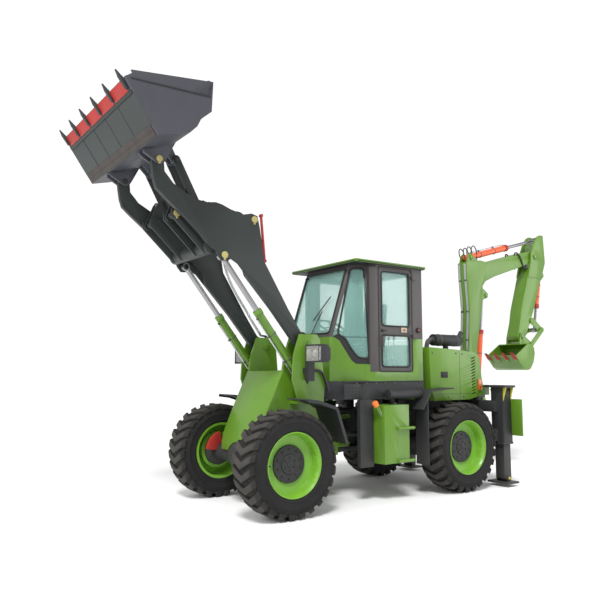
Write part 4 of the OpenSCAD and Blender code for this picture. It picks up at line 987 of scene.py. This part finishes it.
def pin_heads(places, radius):
    """Round pin heads with a keeper plate on both sides of the machine, at (x, z, outer y)."""
    made = []
    for x, z, y in places:
        made.append(bar(at(x, z, y - 0.004), at(x, z, y + PIN_STAND), radius, 32, 0.003))
        low, screw, high = z - radius * 1.5, z - radius * 1.25, z - radius * 0.4
        made.append(block(at(x - 0.012, low, y - 0.002), at(x + 0.012, high, y + 0.006), 0.002))
        made.append(bar(at(x, screw, y + 0.004), at(x, screw, y + 0.012), 0.009, 6, 0.001))
    return mirrored(join(made))


def pin_dots(places, radius):
    """Bright grease points in the middle of the pin heads."""
    made = [bar(at(x, z, y), at(x, z, y + DOT_STAND), radius, 20, 0.003) for x, z, y in places]
    return mirrored(join(made))


# Radius of a steel pipe on a cylinder or an arm, and of one on the backhoe's boom
PIPE_R, BOOM_PIPE_R = 0.0095, 0.0085


def cylinder_dress(name, body, base, eye, rows, length, radius, off, gland_finish):
    """The glands, clamps and pipes of one or more like cylinders, with the pipe on the side that off says."""
    glands, pipes, clamps = [], [], []
    way = along(base, eye, 0, 1) - along(base, eye, 0, 0)
    side = math.copysign(1, off)
    for y in rows:
        glands.append(bar(along(base, eye, y, length - 0.050), along(base, eye, y, length + 0.003),
            radius + 0.008, 40))
        glands.append(ring(along(base, eye, y, length - 0.062), way, radius + 0.004, 0.004, 40))
        run = [(0.095, 0.6), (0.120, 1.0), (0.155, 1.0), (length - 0.150, 1.0), (length - 0.115, 1.0),
            (length - 0.085, 0.6)]
        near = side * (radius + 0.017)
        pipes.append(hose([along(base, eye, y, reach, near * share) for reach, share in run], PIPE_R, 12))
        for reach in (0.30 * length, 0.66 * length):
            clamps.append(ring(along(base, eye, y, reach), way, radius - 0.001, 0.008, 40, 8))
            middle = along(base, eye, y, reach, near)
            clamps.append(block(middle - Vector((0.013, 0.016, 0.013)),
                middle + Vector((0.013, 0.016, 0.013)), 0.004))
        for reach in (0.095, length - 0.085):
            clamps.append(bar(along(base, eye, y, reach, near * 0.70),
                along(base, eye, y, reach, near * 1.05), 0.016, 20))
    settle(name + "_glands", body, gland_finish, join(glands))
    settle(name + "_pipes", body, "pipe_steel", join(pipes))
    settle(name + "_clamps", body, "bolt_dark", join(clamps))


# Engine hood and what stands behind the cab

class LOADER_OT_hood(DressOperator, bpy.types.Operator):
    """Adds the hood's latches, seams and bolts, the exhaust pipe and the bulkhead behind the cab."""
    bl_idname = "loader.hood"
    bl_label = "Hood fittings"

    def execute(self, context):
        latch = join([block(at(-1.400, 1.516, 0.698), at(-1.260, 1.600, 0.7045), 0.003),
            block(at(-1.386, 1.529, 0.703), at(-1.274, 1.587, 0.7075), 0.002),
            bar(at(-1.300, 1.557, 0.704), at(-1.300, 1.557, 0.713), 0.017, 24)])
        settle("hood_latches", "chassis", "seal_black", mirrored(latch))
        seam = block(at(-1.6525, 1.212, 0.6985), at(-1.6485, 1.896, 0.7012), 0)
        skirt = block(at(-2.140, 1.289, 0.6985), at(-1.110, 1.293, 0.7012), 0)
        settle("hood_seams", "chassis", "seal_black", mirrored(join([seam, skirt])))
        heads = [at(x, z, 0.7005) for x, z in ((-1.12, 1.25), (-1.40, 1.25), (-1.72, 1.25), (-2.02, 1.27),
            (-1.10, 1.86), (-1.58, 1.86), (-1.71, 1.85))]
        settle("hood_bolts", "chassis", "bolt_dark", mirrored(bolts(heads, (0, 1, 0), sizes().bolt)),
            smooth=25)
        bulkhead = join([block(at(-1.032, 1.262, -0.600), at(-1.010, 1.880, 0.600), 0.004)]
            + [block(at(-1.012, 1.30 + 0.14 * i, -0.560), at(-0.992, 1.33 + 0.14 * i, 0.560), 0.004)
            for i in range(4)])
        settle("bulkhead", "chassis", "chassis_black", bulkhead)
        lines = [hose([at(-1.005, 1.86 - 0.02 * i, 0.615 - 0.045 * i), at(-0.978, 1.74, 0.630 - 0.045 * i),
            at(-0.985, 1.50, 0.640 - 0.045 * i), at(-0.970, 1.35, 0.620 - 0.045 * i),
            at(-0.960, 1.262, 0.600 - 0.045 * i)], sizes().hose * 1.2, 12) for i in range(3)]
        settle("bulkhead_hoses", "chassis", "hose_black", mirrored(join(lines)))
        # Across and up: the muffler's axis
        y, z = 0.35, 2.060
        pipe = hose([at(-1.347, 1.872, y), at(-1.362, 1.960, y), at(-1.392, 2.035, y), at(-1.440, z, y),
            at(-1.496, z, y)], 0.034, 16)
        collar = [bar(at(-1.343, 1.874, y), at(-1.348, 1.900, y), 0.050, 32),
            bar(at(-1.478, z, y), at(-1.500, z, y), 0.046, 32)]
        straps = [bar(at(x - 0.014, z, y), at(x + 0.014, z, y), 0.0885, 48, 0.002) for x in (-1.60, -1.94)]
        settle("exhaust_pipe", "chassis", "engine_iron", join([pipe] + collar + straps))
        return {"FINISHED"}


# Tanks, decks and the cab's sides

class LOADER_OT_sides(DressOperator, bpy.types.Operator):
    """Adds the tanks' caps, chains and plugs, the steps' ends, and the decks' holed plates and bolts."""
    bl_idname = "loader.sides"
    bl_label = "Tanks and decks"

    def execute(self, context):
        cap = join([bar(at(0.084, 1.177, 0.858), at(0.116, 1.225, 0.858), 0.038, 12, 0.004),
            bar(at(0.112, 1.219, 0.858), at(0.121, 1.232, 0.858), 0.026, 24, 0.004)])
        settle("tank_caps", "chassis", "cap_orange", mirrored(cap))
        chain = hose([at(0.070, 1.160, 0.892), at(0.040, 1.080, 0.902), at(0.000, 1.060, 0.890)], 0.004, 8)
        settle("tank_chains", "chassis", "bolt_steel", mirrored(chain))
        drain = [bar(at(-0.20, 0.470, 0.74), at(-0.20, 0.452, 0.74), 0.022, 6, 0.002),
            bar(at(-0.33, 1.183, 0.74), at(-0.33, 1.205, 0.74), 0.030, 24, 0.003)]
        settle("tank_plugs", "chassis", "bolt_dark", mirrored(join(drain)))
        sleeves = [bar(at(-0.450 + 0.034 * i, z, 0.95), at(-0.432 + 0.034 * i, z, 0.95), 0.0225, 20, 0.002)
            for z in (0.495, 0.895) for i in (0, 7)]
        settle("step_ends", "chassis", "body_green", mirrored(join(sleeves)))
        sheet = block(at(0.180, 1.262, 0.670), at(0.448, 1.448, 0.6755), 0.002)
        settle("deck_plates", "chassis", "chassis_black", mirrored(sheet))
        grid = [(0.206 + 0.054 * i, 1.310 + 0.045 * j) for i in range(5) for j in range(3)]
        holes = [bar(at(x, z, 0.674), at(x, z, 0.6765), 0.015, 20, 0) for x, z in grid]
        settle("deck_plate_holes", "chassis", "seal_black", mirrored(join(holes)))
        heads = [at(-0.88 + 0.16 * i, 1.455, 0.672) for i in range(8)]
        settle("deck_bolts", "chassis", "bolt_dark", mirrored(bolts(heads, (0, 1, 0), sizes().bolt)),
            smooth=25)
        edge = block(at(-0.935, 1.470, 0.640), at(0.440, 1.486, 0.680), 0.003)
        settle("deck_edges", "chassis", "trim_plastic", mirrored(edge))
        return {"FINISHED"}


# Front chassis

class LOADER_OT_front(DressOperator, bpy.types.Operator):
    """Adds the front chassis' lamp glasses, brake calipers, pins and the hoses over its joint."""
    bl_idname = "loader.front"
    bl_label = "Front chassis fittings"

    def execute(self, context):
        bowls = []
        for y, radius in ((0.758, 0.056), (0.872, 0.050)):
            bowl = revolve([(0.001, 0.0), (radius * 0.45, 0.002), (radius * 0.9, 0.0065), (radius, 0.0085),
                (radius * 0.97, 0.0), (0.001, -0.002)], (0, 0, 0), 40)
            turned = Matrix.Translation(at(1.0285, 1.815, y)) @ Matrix.Rotation(-math.pi / 2, 4, "Z")
            bowls += copies(bowl, [turned])
            bowls.append(bar(at(1.028, 1.815, y), at(1.036, 1.815, y), 0.012, 20, 0.003))
        settle("headlamp_bowls", "front", "rod_chrome", mirrored(join(bowls)))
        glass = block(at(1.0375, 1.727, 0.695), at(1.0398, 1.900, 0.930), 0.001)
        settle("headlamp_glasses", "front", "lamp_clear", mirrored(glass))
        turn = block(at(1.029, 1.732, 0.936), at(1.0385, 1.896, 0.978), 0.003)
        settle("turn_lamp_glasses", "front", "lamp_clear", mirrored(turn))
        # A caliper is a quarter of a ring round the front axle
        steps, start, sweep = 8, 8, 66
        arcs = [(0.120, math.radians(start + sweep * i / steps)) for i in range(steps + 1)]
        arcs += [(0.262, math.radians(start + sweep - sweep * i / steps)) for i in range(steps + 1)]
        caliper = plate([(AXLE_X + HITCH_X + reach * math.cos(a), TYRE_R + reach * math.sin(a))
            for reach, a in arcs], 0.562, 0.606, edge=0.006)
        settle("brake_calipers", "front", "signal_red", mirrored(caliper))
        lines = []
        for i in range(4):
            y = 0.14 - 0.04 * i
            lines.append(hose([at(0.56, 1.300, y), at(0.60, 1.375 + 0.01 * i, y),
                at(0.68, 1.415 + 0.01 * i, y), at(0.78, 1.395, y), at(0.86, 1.330, y)], sizes().hose, 12))
        settle("joint_hoses", "front", "hose_black", mirrored(join(lines)))
        bend = hose([at(0.925, 1.590, 0.634), at(0.860, 1.612, 0.634), at(0.776, 1.600, 0.634),
            at(0.704, 1.493, 0.634), at(0.658, 1.369, 0.630)], 0.017, 12)
        feed = hose([at(0.900, 1.360, 0.440), at(0.868, 1.440, 0.428), at(0.880, 1.530, 0.425),
            at(0.930, 1.610, 0.428)], 0.012, 12)
        settle("lamp_hoses", "front", "hose_black", mirrored(join([feed, bend])))
        heads = ((0.930, 1.930, 0.613), (0.960, 1.520, 0.613))
        settle("ear_pins", "front", "arm_dark", pin_heads(heads, 0.040))
        settle("ear_pin_dots", "front", "yellow_paint", pin_dots(heads, 0.016))
        return {"FINISHED"}


# Loader arms, levers and cylinders

# Base pin and eye of the cylinders in side view, from the articulation pin
LIFT_BASE, LIFT_PIN = (0.960, 1.520), (2.065, 2.910)
TILT_BASE, TILT_PIN = (1.670, 3.372), (2.503, 3.581)


class LOADER_OT_loader(DressOperator, bpy.types.Operator):
    """Adds the pins, pipes, hoses and glands of the lifting arms, the levers and their cylinders."""
    bl_idname = "loader.loader"
    bl_label = "Loader fittings"

    def execute(self, context):
        cylinders = (("lift", LIFT_BASE, LIFT_PIN, 0.470, 1.014, 0.047, -0.01, "body_green"),
            ("tilt", TILT_BASE, TILT_PIN, 0.300, 0.590, 0.045, 0.01, "arm_dark"))
        for name, base, eye, y, length, radius, off, gland in cylinders:
            cylinder_dress(name, name + "_barrels", base, eye, (y, -y), length, radius, off, gland)
        heads = ((2.065, 2.910, 0.549), (2.600, 3.340, 0.420), (1.670, 3.372, 0.535))
        settle("arm_pins", "arms", "pin_yellow", pin_heads(heads, 0.040))
        settle("bucket_pin_ends", "arms", "pin_yellow", pin_heads(((2.885, 3.860, 0.580),), 0.036))
        lines = []
        for i in range(2):
            y = 0.452 - 0.030 * i
            lines.append(hose([at(0.960, 2.075, y), at(1.160, 2.345, y), at(1.495, 2.885, y),
                at(1.572, 3.285, y), at(1.610, 3.375, y - 0.03)], PIPE_R, 12))
        settle("arm_pipes", "arms", "pipe_steel", mirrored(join(lines)))
        loops = [hose([at(0.880, 1.850, y), at(0.845, 1.960, y), at(0.880, 2.060, y), at(0.965, 2.080, y)],
            sizes().hose, 12) for y in (0.450, 0.420)]
        settle("arm_hoses", "arms", "hose_black", mirrored(join(loops)))
        strut = join([bar(at(1.563, 3.440, 0.505), at(1.508, 2.900, 0.505), 0.016, 24),
            bar(at(1.563, 3.440, 0.484), at(1.563, 3.440, 0.526), 0.020, 24),
            bar(at(1.508, 2.900, 0.484), at(1.508, 2.900, 0.526), 0.020, 24)])
        settle("safety_strut", "arms", "signal_red", strut)
        bridge = hose([at(1.690, 3.402, 0.36), at(1.730, 3.470, 0.34), at(1.800, 3.492, 0.31),
            at(1.836, 3.480, 0.30)], 0.009, 12)
        settle("tilt_hoses", "arms", "hose_black", mirrored(bridge))
        return {"FINISHED"}


# Loader bucket

# The cutting edge, the way from it along the floor and the way down from the floor
LIP = Vector((3.451 + HITCH_X, 0, 4.447))
FLOOR_RUN = Vector((-0.5716, 0, -0.8205))
FLOOR_AWAY = Vector((0.8205, 0, -0.5716))
# Half the bucket's width, half the width of what cuts across it, and where the teeth stand
BUCKET_HALF, CUT_HALF = 1.030, 1.060
TOOTH_Y = (-0.970, -0.582, -0.194, 0.194, 0.582, 0.970)


def floor_point(run, away):
    """A point of the bucket's side outline, by its reach from the lip and its height off the floor."""
    place = LIP + FLOOR_RUN * run + FLOOR_AWAY * away
    return place.x, place.z


def floor_outline(start, end, low, high):
    """Corners of a strip along the bucket's floor, between two reaches and two heights."""
    return [floor_point(start, low), floor_point(end, low), floor_point(end, high), floor_point(start, high)]


def floor_strip(start, end, left, right, thick):
    """A plate on the outside of the bucket's floor."""
    return plate(floor_outline(start, end, -0.001, thick), left, right)


class LOADER_OT_bucket(DressOperator, bpy.types.Operator):
    """Thins the bucket's cutting edge and adds its teeth, red lip, seams, wear plates, corners and pins."""
    bl_idname = "loader.bucket"
    bl_label = "Loader bucket"

    def execute(self, context):
        skin = bpy.data.objects["loader_bucket_skin"]
        # The solid's own teeth and cross ribs go: what is under the floor, and what is ahead of its edge
        away = ((-0.200, 0.162, 0.0003, 0.060), (0.166, 0.620, 0.0003, 0.060),
            (-0.200, -0.0015, -0.100, 0.001))
        for strip in away:
            cutter = plate(floor_outline(*strip), -CUT_HALF, CUT_HALF, edge=0)
            apply(skin, "BOOLEAN", operation="DIFFERENCE", object=cutter, solver="EXACT")
            bpy.data.objects.remove(cutter)
        lip = [floor_strip(0.006, 0.128, a + 0.020, b - 0.020, 0.010) for a, b in zip(TOOTH_Y, TOOTH_Y[1:])]
        settle("bucket_lip", "bucket", "signal_red", join(lip))
        bands = [floor_strip(0.004, 0.128, y - 0.019, y + 0.019, 0.008) for y in TOOTH_Y]
        bands += [floor_strip(0.130, 0.166, -1.010, 1.010, 0.013)]
        bands += [floor_strip(0.166, 0.500, y - 0.009, y + 0.009, 0.007) for y in TOOTH_Y[1:-1]]
        settle("bucket_seams", "bucket", "arm_dark", join(bands))
        floor = floor_strip(0.164, 0.505, -1.027, 1.027, 0.003)
        settle("bucket_floor", "bucket", "floor_dark", floor)
        wear = [floor_strip(0.500, 0.562, -1.000, 1.000, 0.008),
            floor_strip(0.562, 0.617, -1.000, 1.000, 0.012)]
        settle("bucket_heel_plates", "bucket", "wear_steel", join(wear))
        shanks = []
        for y in TOOTH_Y:
            tip = [(0.112, 0.004), (-0.030, 0.000), (-0.098, 0.018), (-0.104, 0.026), (-0.040, 0.036),
                (0.105, 0.022)]
            root = [(0.108, 0.004), (-0.022, -0.003), (-0.040, 0.036), (0.098, 0.030)]
            shanks.append(plate([floor_point(*p) for p in tip], y - 0.014, y + 0.014, edge=0.004))
            shanks.append(plate([floor_point(*p) for p in root], y - 0.021, y + 0.021, edge=0.004))
        settle("bucket_teeth", "bucket", "arm_dark", join(shanks))
        strip = [(3.396, 4.455), (2.520, 4.482), (2.519, 4.468), (3.386, 4.441)]
        sides = plate([(x + HITCH_X, z) for x, z in strip], BUCKET_HALF - 0.002, BUCKET_HALF + 0.008)
        settle("bucket_side_strips", "bucket", "arm_dark", mirrored(sides))
        lobe = [(2.720, 4.470), (2.690, 4.548), (2.635, 4.606), (2.545, 4.650), (2.500, 4.640),
            (2.519, 4.478)]
        ears = plate([(x + HITCH_X, z) for x, z in lobe], BUCKET_HALF - 0.014, BUCKET_HALF, edge=0.003)
        settle("bucket_corners", "bucket", "bucket_slate", mirrored(ears))
        settle("bucket_pins", "bucket", "arm_dark", pin_heads(((2.605, 3.960, 0.396),), 0.028))
        return {"FINISHED"}


# Backhoe

# Base pin and eye of the cylinders in side view, from the articulation pin
BOOM_BASE, BOOM_EYE = (-2.850, 1.160), (-3.060, 2.850)
DIPPER_BASE, DIPPER_EYE = (-2.720, 3.450), (-4.560, 3.950)
HOE_BASE, ROCKER_EYE = (-4.655, 3.320), (-4.470, 2.330)


class LOADER_OT_backhoe(DressOperator, bpy.types.Operator):
    """Adds the hoses, pipes, glands, pins and teeth of the backhoe."""
    bl_idname = "loader.backhoe"
    bl_label = "Backhoe fittings"

    def execute(self, context):
        # Name, base pin, eye, length and radius of the barrel, and the side that its pipe is on
        cylinders = (("boom", BOOM_BASE, BOOM_EYE, 1.125, 0.052, -0.01),
            ("dipper", DIPPER_BASE, DIPPER_EYE, 1.060, 0.050, -0.01),
            ("hoe", HOE_BASE, ROCKER_EYE, 0.600, 0.044, 0.01))
        for name, base, eye, length, radius, off in cylinders:
            cylinder_dress(name + "_cylinder", name + "_barrel", base, eye, (0.0,), length, radius, off,
                "signal_red")
        lines = [hose([at(-2.606, 1.905, y), at(-2.598, 2.000, y), at(-2.634, 2.600, y), at(-2.598, 3.090, y),
            at(-2.590, 3.330, y)], BOOM_PIPE_R, 12) for y in (-0.066, -0.046, 0.046, 0.066)]
        settle("boom_pipes", "boom", "pipe_steel", join(lines))
        ends = [hose([at(-2.616, 1.560, y), at(-2.585, 1.680, y), at(-2.582, 1.800, y), at(-2.604, 1.900, y)],
            sizes().hose * 1.15, 12) for y in (-0.066, -0.044, 0.044, 0.066)]
        ends += [bar(at(-2.604, 1.892, y), at(-2.604, 1.925, y), 0.0155, 6, 0.002)
            for y in (-0.068, -0.044, 0.044, 0.068)]
        settle("boom_hoses", "boom", "hose_black", join(ends))
        clips = [block(at(x - 0.012, z - 0.014, y - 0.022), at(x + 0.016, z + 0.014, y + 0.022), 0.004)
            for x, z in ((-2.604, 2.100), (-2.632, 2.560), (-2.603, 3.060)) for y in (-0.056, 0.056)]
        settle("boom_hose_clips", "boom", "bolt_dark", join(clips))
        loops = [hose([at(-2.627, 3.419, 0.045), at(-2.583, 3.520, 0.045), at(-2.606, 3.585, 0.045),
            at(-2.660, 3.575, 0.045), at(-2.727, 3.440, 0.045)], BOOM_PIPE_R, 12),
            hose([at(-2.799, 3.440, 0.045), at(-2.777, 3.590, 0.045), at(-2.822, 3.650, 0.045),
            at(-2.880, 3.620, 0.045), at(-2.914, 3.430, 0.045)], BOOM_PIPE_R, 12)]
        settle("elbow_hoses", "boom", "hose_black", mirrored(join(loops)))
        over = hose([at(-3.846, 3.590, 0.086), at(-3.872, 3.640, 0.098), at(-3.940, 3.625, 0.104),
            at(-4.010, 3.550, 0.106), at(-4.061, 3.460, 0.100), at(-4.110, 3.400, 0.094)], sizes().hose * 1.1,
            12)
        settle("dipper_hoses", "boom", "hose_black", mirrored(over))
        heads = ((-3.060, 2.850, 0.092), (-2.720, 3.450, 0.088))
        settle("boom_pins", "boom", "body_green", pin_heads(heads, 0.028))
        heads = ((-4.380, 3.620, 0.140), (-3.920, 2.200, 0.141))
        settle("dipper_pins", "dipper", "body_green", pin_heads(heads, 0.034))
        heads = ((-2.720, 1.460, 0.150), (-2.850, 1.160, 0.150))
        settle("swing_pins", "swing", "body_green", pin_heads(heads, 0.034))
        tooth = [(-3.500, 1.862), (-3.436, 1.909), (-3.519, 1.812), (-3.552, 1.790), (-3.540, 1.826)]
        teeth = [plate([(x + HITCH_X, z) for x, z in tooth], y - 0.0315, y + 0.0315, edge=0.003)
            for y in (-0.258, -0.086, 0.086, 0.258)]
        settle("hoe_teeth", "hoe_bucket", "signal_red", join(teeth))
        return {"FINISHED"}


# Stabilisers

class LOADER_OT_stabilisers(DressOperator, bpy.types.Operator):
    """Adds the gussets, collars and pins of the two stabilisers."""
    bl_idname = "loader.stabilisers"
    bl_label = "Stabiliser fittings"

    def execute(self, context):
        gussets = []
        for x in (-2.340, -2.176):
            web = [(1.030, 1.376), (1.086, 1.376), (1.030, 1.180)]
            gussets.append(loft([[at(a, z, y) for y, z in web] for a in (x, x + 0.012)], 0.002))
        settle("stabiliser_gussets", "chassis", "yellow_paint", mirrored(join(gussets)))
        collar = join([block(at(-2.362, 0.580, 0.824), at(-2.148, 0.610, 1.036), 0.004),
            block(at(-2.362, 1.330, 0.824), at(-2.148, 1.352, 1.036), 0.004)])
        settle("stabiliser_collars", "chassis", "chassis_black", mirrored(collar))
        for side_name, side in SIDES:
            dot = bar(at(-2.255, 0.108, side * 1.022), at(-2.255, 0.108, side * 1.034), 0.020, 24, 0.003)
            settle("foot_pin_" + side_name, "leg_" + side_name, "yellow_paint", dot)
        return {"FINISHED"}


# Stage

class LOADER_OT_stage(DressOperator, bpy.types.Operator):
    """Sets the pale floor, the soft lights and the photograph's camera."""
    bl_idname = "loader.stage"
    bl_label = "Stage"

    def execute(self, context):
        stage = context.scene.loader_stage
        clear()
        bpy.ops.mesh.primitive_plane_add(size=120, location=(0, 0, -0.001))
        floor = bpy.context.object
        edit(floor, (bpy.ops.mesh.subdivide, {"number_cuts": 2}))
        bpy.ops.object.transform_apply(location=True, rotation=True, scale=True)
        floor.name = "floor"
        floor.data.materials.append(finish("studio"))

        camera_data = bpy.data.cameras.new("camera")
        camera_data.lens, camera_data.sensor_width = stage.lens, 36
        camera_data.clip_end = 500
        camera = bpy.data.objects.new("camera", camera_data)
        context.scene.collection.objects.link(camera)
        camera.location = stage.eye
        camera.rotation_euler = (math.pi / 2 + stage.pitch, 0, stage.heading - math.pi / 2)
        context.scene.camera = camera

        world = context.scene.world or bpy.data.worlds.new("studio")
        context.scene.world = world
        context.scene.view_settings.view_transform = "Standard"
        world.use_nodes = True
        tree = world.node_tree
        tree.nodes.clear()
        seen, light = tree.nodes.new("ShaderNodeBackground"), tree.nodes.new("ShaderNodeBackground")
        for back, strength in ((seen, 1.05), (light, stage.sky)):
            back.inputs["Color"].default_value = (1, 1, 1, 1)
            back.inputs["Strength"].default_value = strength
        path, mix = tree.nodes.new("ShaderNodeLightPath"), tree.nodes.new("ShaderNodeMixShader")
        tree.links.new(path.outputs["Is Camera Ray"], mix.inputs[0])
        tree.links.new(light.outputs[0], mix.inputs[1])
        tree.links.new(seen.outputs[0], mix.inputs[2])
        tree.links.new(mix.outputs[0], tree.nodes.new("ShaderNodeOutputWorld").inputs["Surface"])

        # A soft sun from high on the left of the camera, and two wide panels
        sun_data = bpy.data.lights.new("sun", "SUN")
        sun_data.energy, sun_data.angle = stage.key, math.radians(14)
        sun = bpy.data.objects.new("sun", sun_data)
        sun.rotation_euler = Vector((-0.55, -0.62, -1.15)).to_track_quat("-Z", "Y").to_euler()
        context.scene.collection.objects.link(sun)
        panels = (("side_panel", (9, 1.5, 5.0), 5.0, 260), ("back_panel", (-8, 6.0, 4.0), 5.0, 200))
        for name, place, size, power in panels:
            light = bpy.data.lights.new(name, "AREA")
            light.size, light.energy = size, power
            panel = bpy.data.objects.new(name, light)
            panel.location = place
            panel.rotation_euler = (Vector((0, 0, 1.4)) - Vector(place)).to_track_quat("-Z", "Y").to_euler()
            context.scene.collection.objects.link(panel)
        return {"FINISHED"}


# Add-on

PIECE_OPERATORS = (
    LOADER_OT_steel, LOADER_OT_tyres, LOADER_OT_hubs, LOADER_OT_cab, LOADER_OT_inside,
    LOADER_OT_hood, LOADER_OT_sides, LOADER_OT_front, LOADER_OT_loader, LOADER_OT_bucket, LOADER_OT_backhoe,
    LOADER_OT_stabilisers, LOADER_OT_stage,
)


class LOADER_PT_panel(bpy.types.Panel):
    """Lists the pieces of the machine and the values that change them."""
    bl_label = "Backhoe Loader"
    bl_idname = "LOADER_PT_panel"
    bl_space_type = "VIEW_3D"
    bl_region_type = "UI"
    bl_category = "Backhoe"

    def draw(self, context):
        for group in (context.scene.loader_paint, context.scene.loader_sizes, context.scene.loader_stage):
            box = self.layout.box()
            for key in group.__annotations__:
                box.prop(group, key)
        for operator in PIECE_OPERATORS:
            self.layout.operator(operator.bl_idname)


CLASSES = (LoaderPaint, LoaderSizes, LoaderStage) + PIECE_OPERATORS + (LOADER_PT_panel,)


def register():
    for each in CLASSES:
        bpy.utils.register_class(each)
    bpy.types.Scene.loader_paint = bpy.props.PointerProperty(type=LoaderPaint)
    bpy.types.Scene.loader_sizes = bpy.props.PointerProperty(type=LoaderSizes)
    bpy.types.Scene.loader_stage = bpy.props.PointerProperty(type=LoaderStage)


def unregister():
    del bpy.types.Scene.loader_paint, bpy.types.Scene.loader_sizes, bpy.types.Scene.loader_stage
    for each in reversed(CLASSES):
        bpy.utils.unregister_class(each)


def main():
    register()
    for operator in PIECE_OPERATORS:
        family, name = operator.bl_idname.split(".")
        getattr(getattr(bpy.ops, family), name)()


if __name__ == "__main__":
    main()
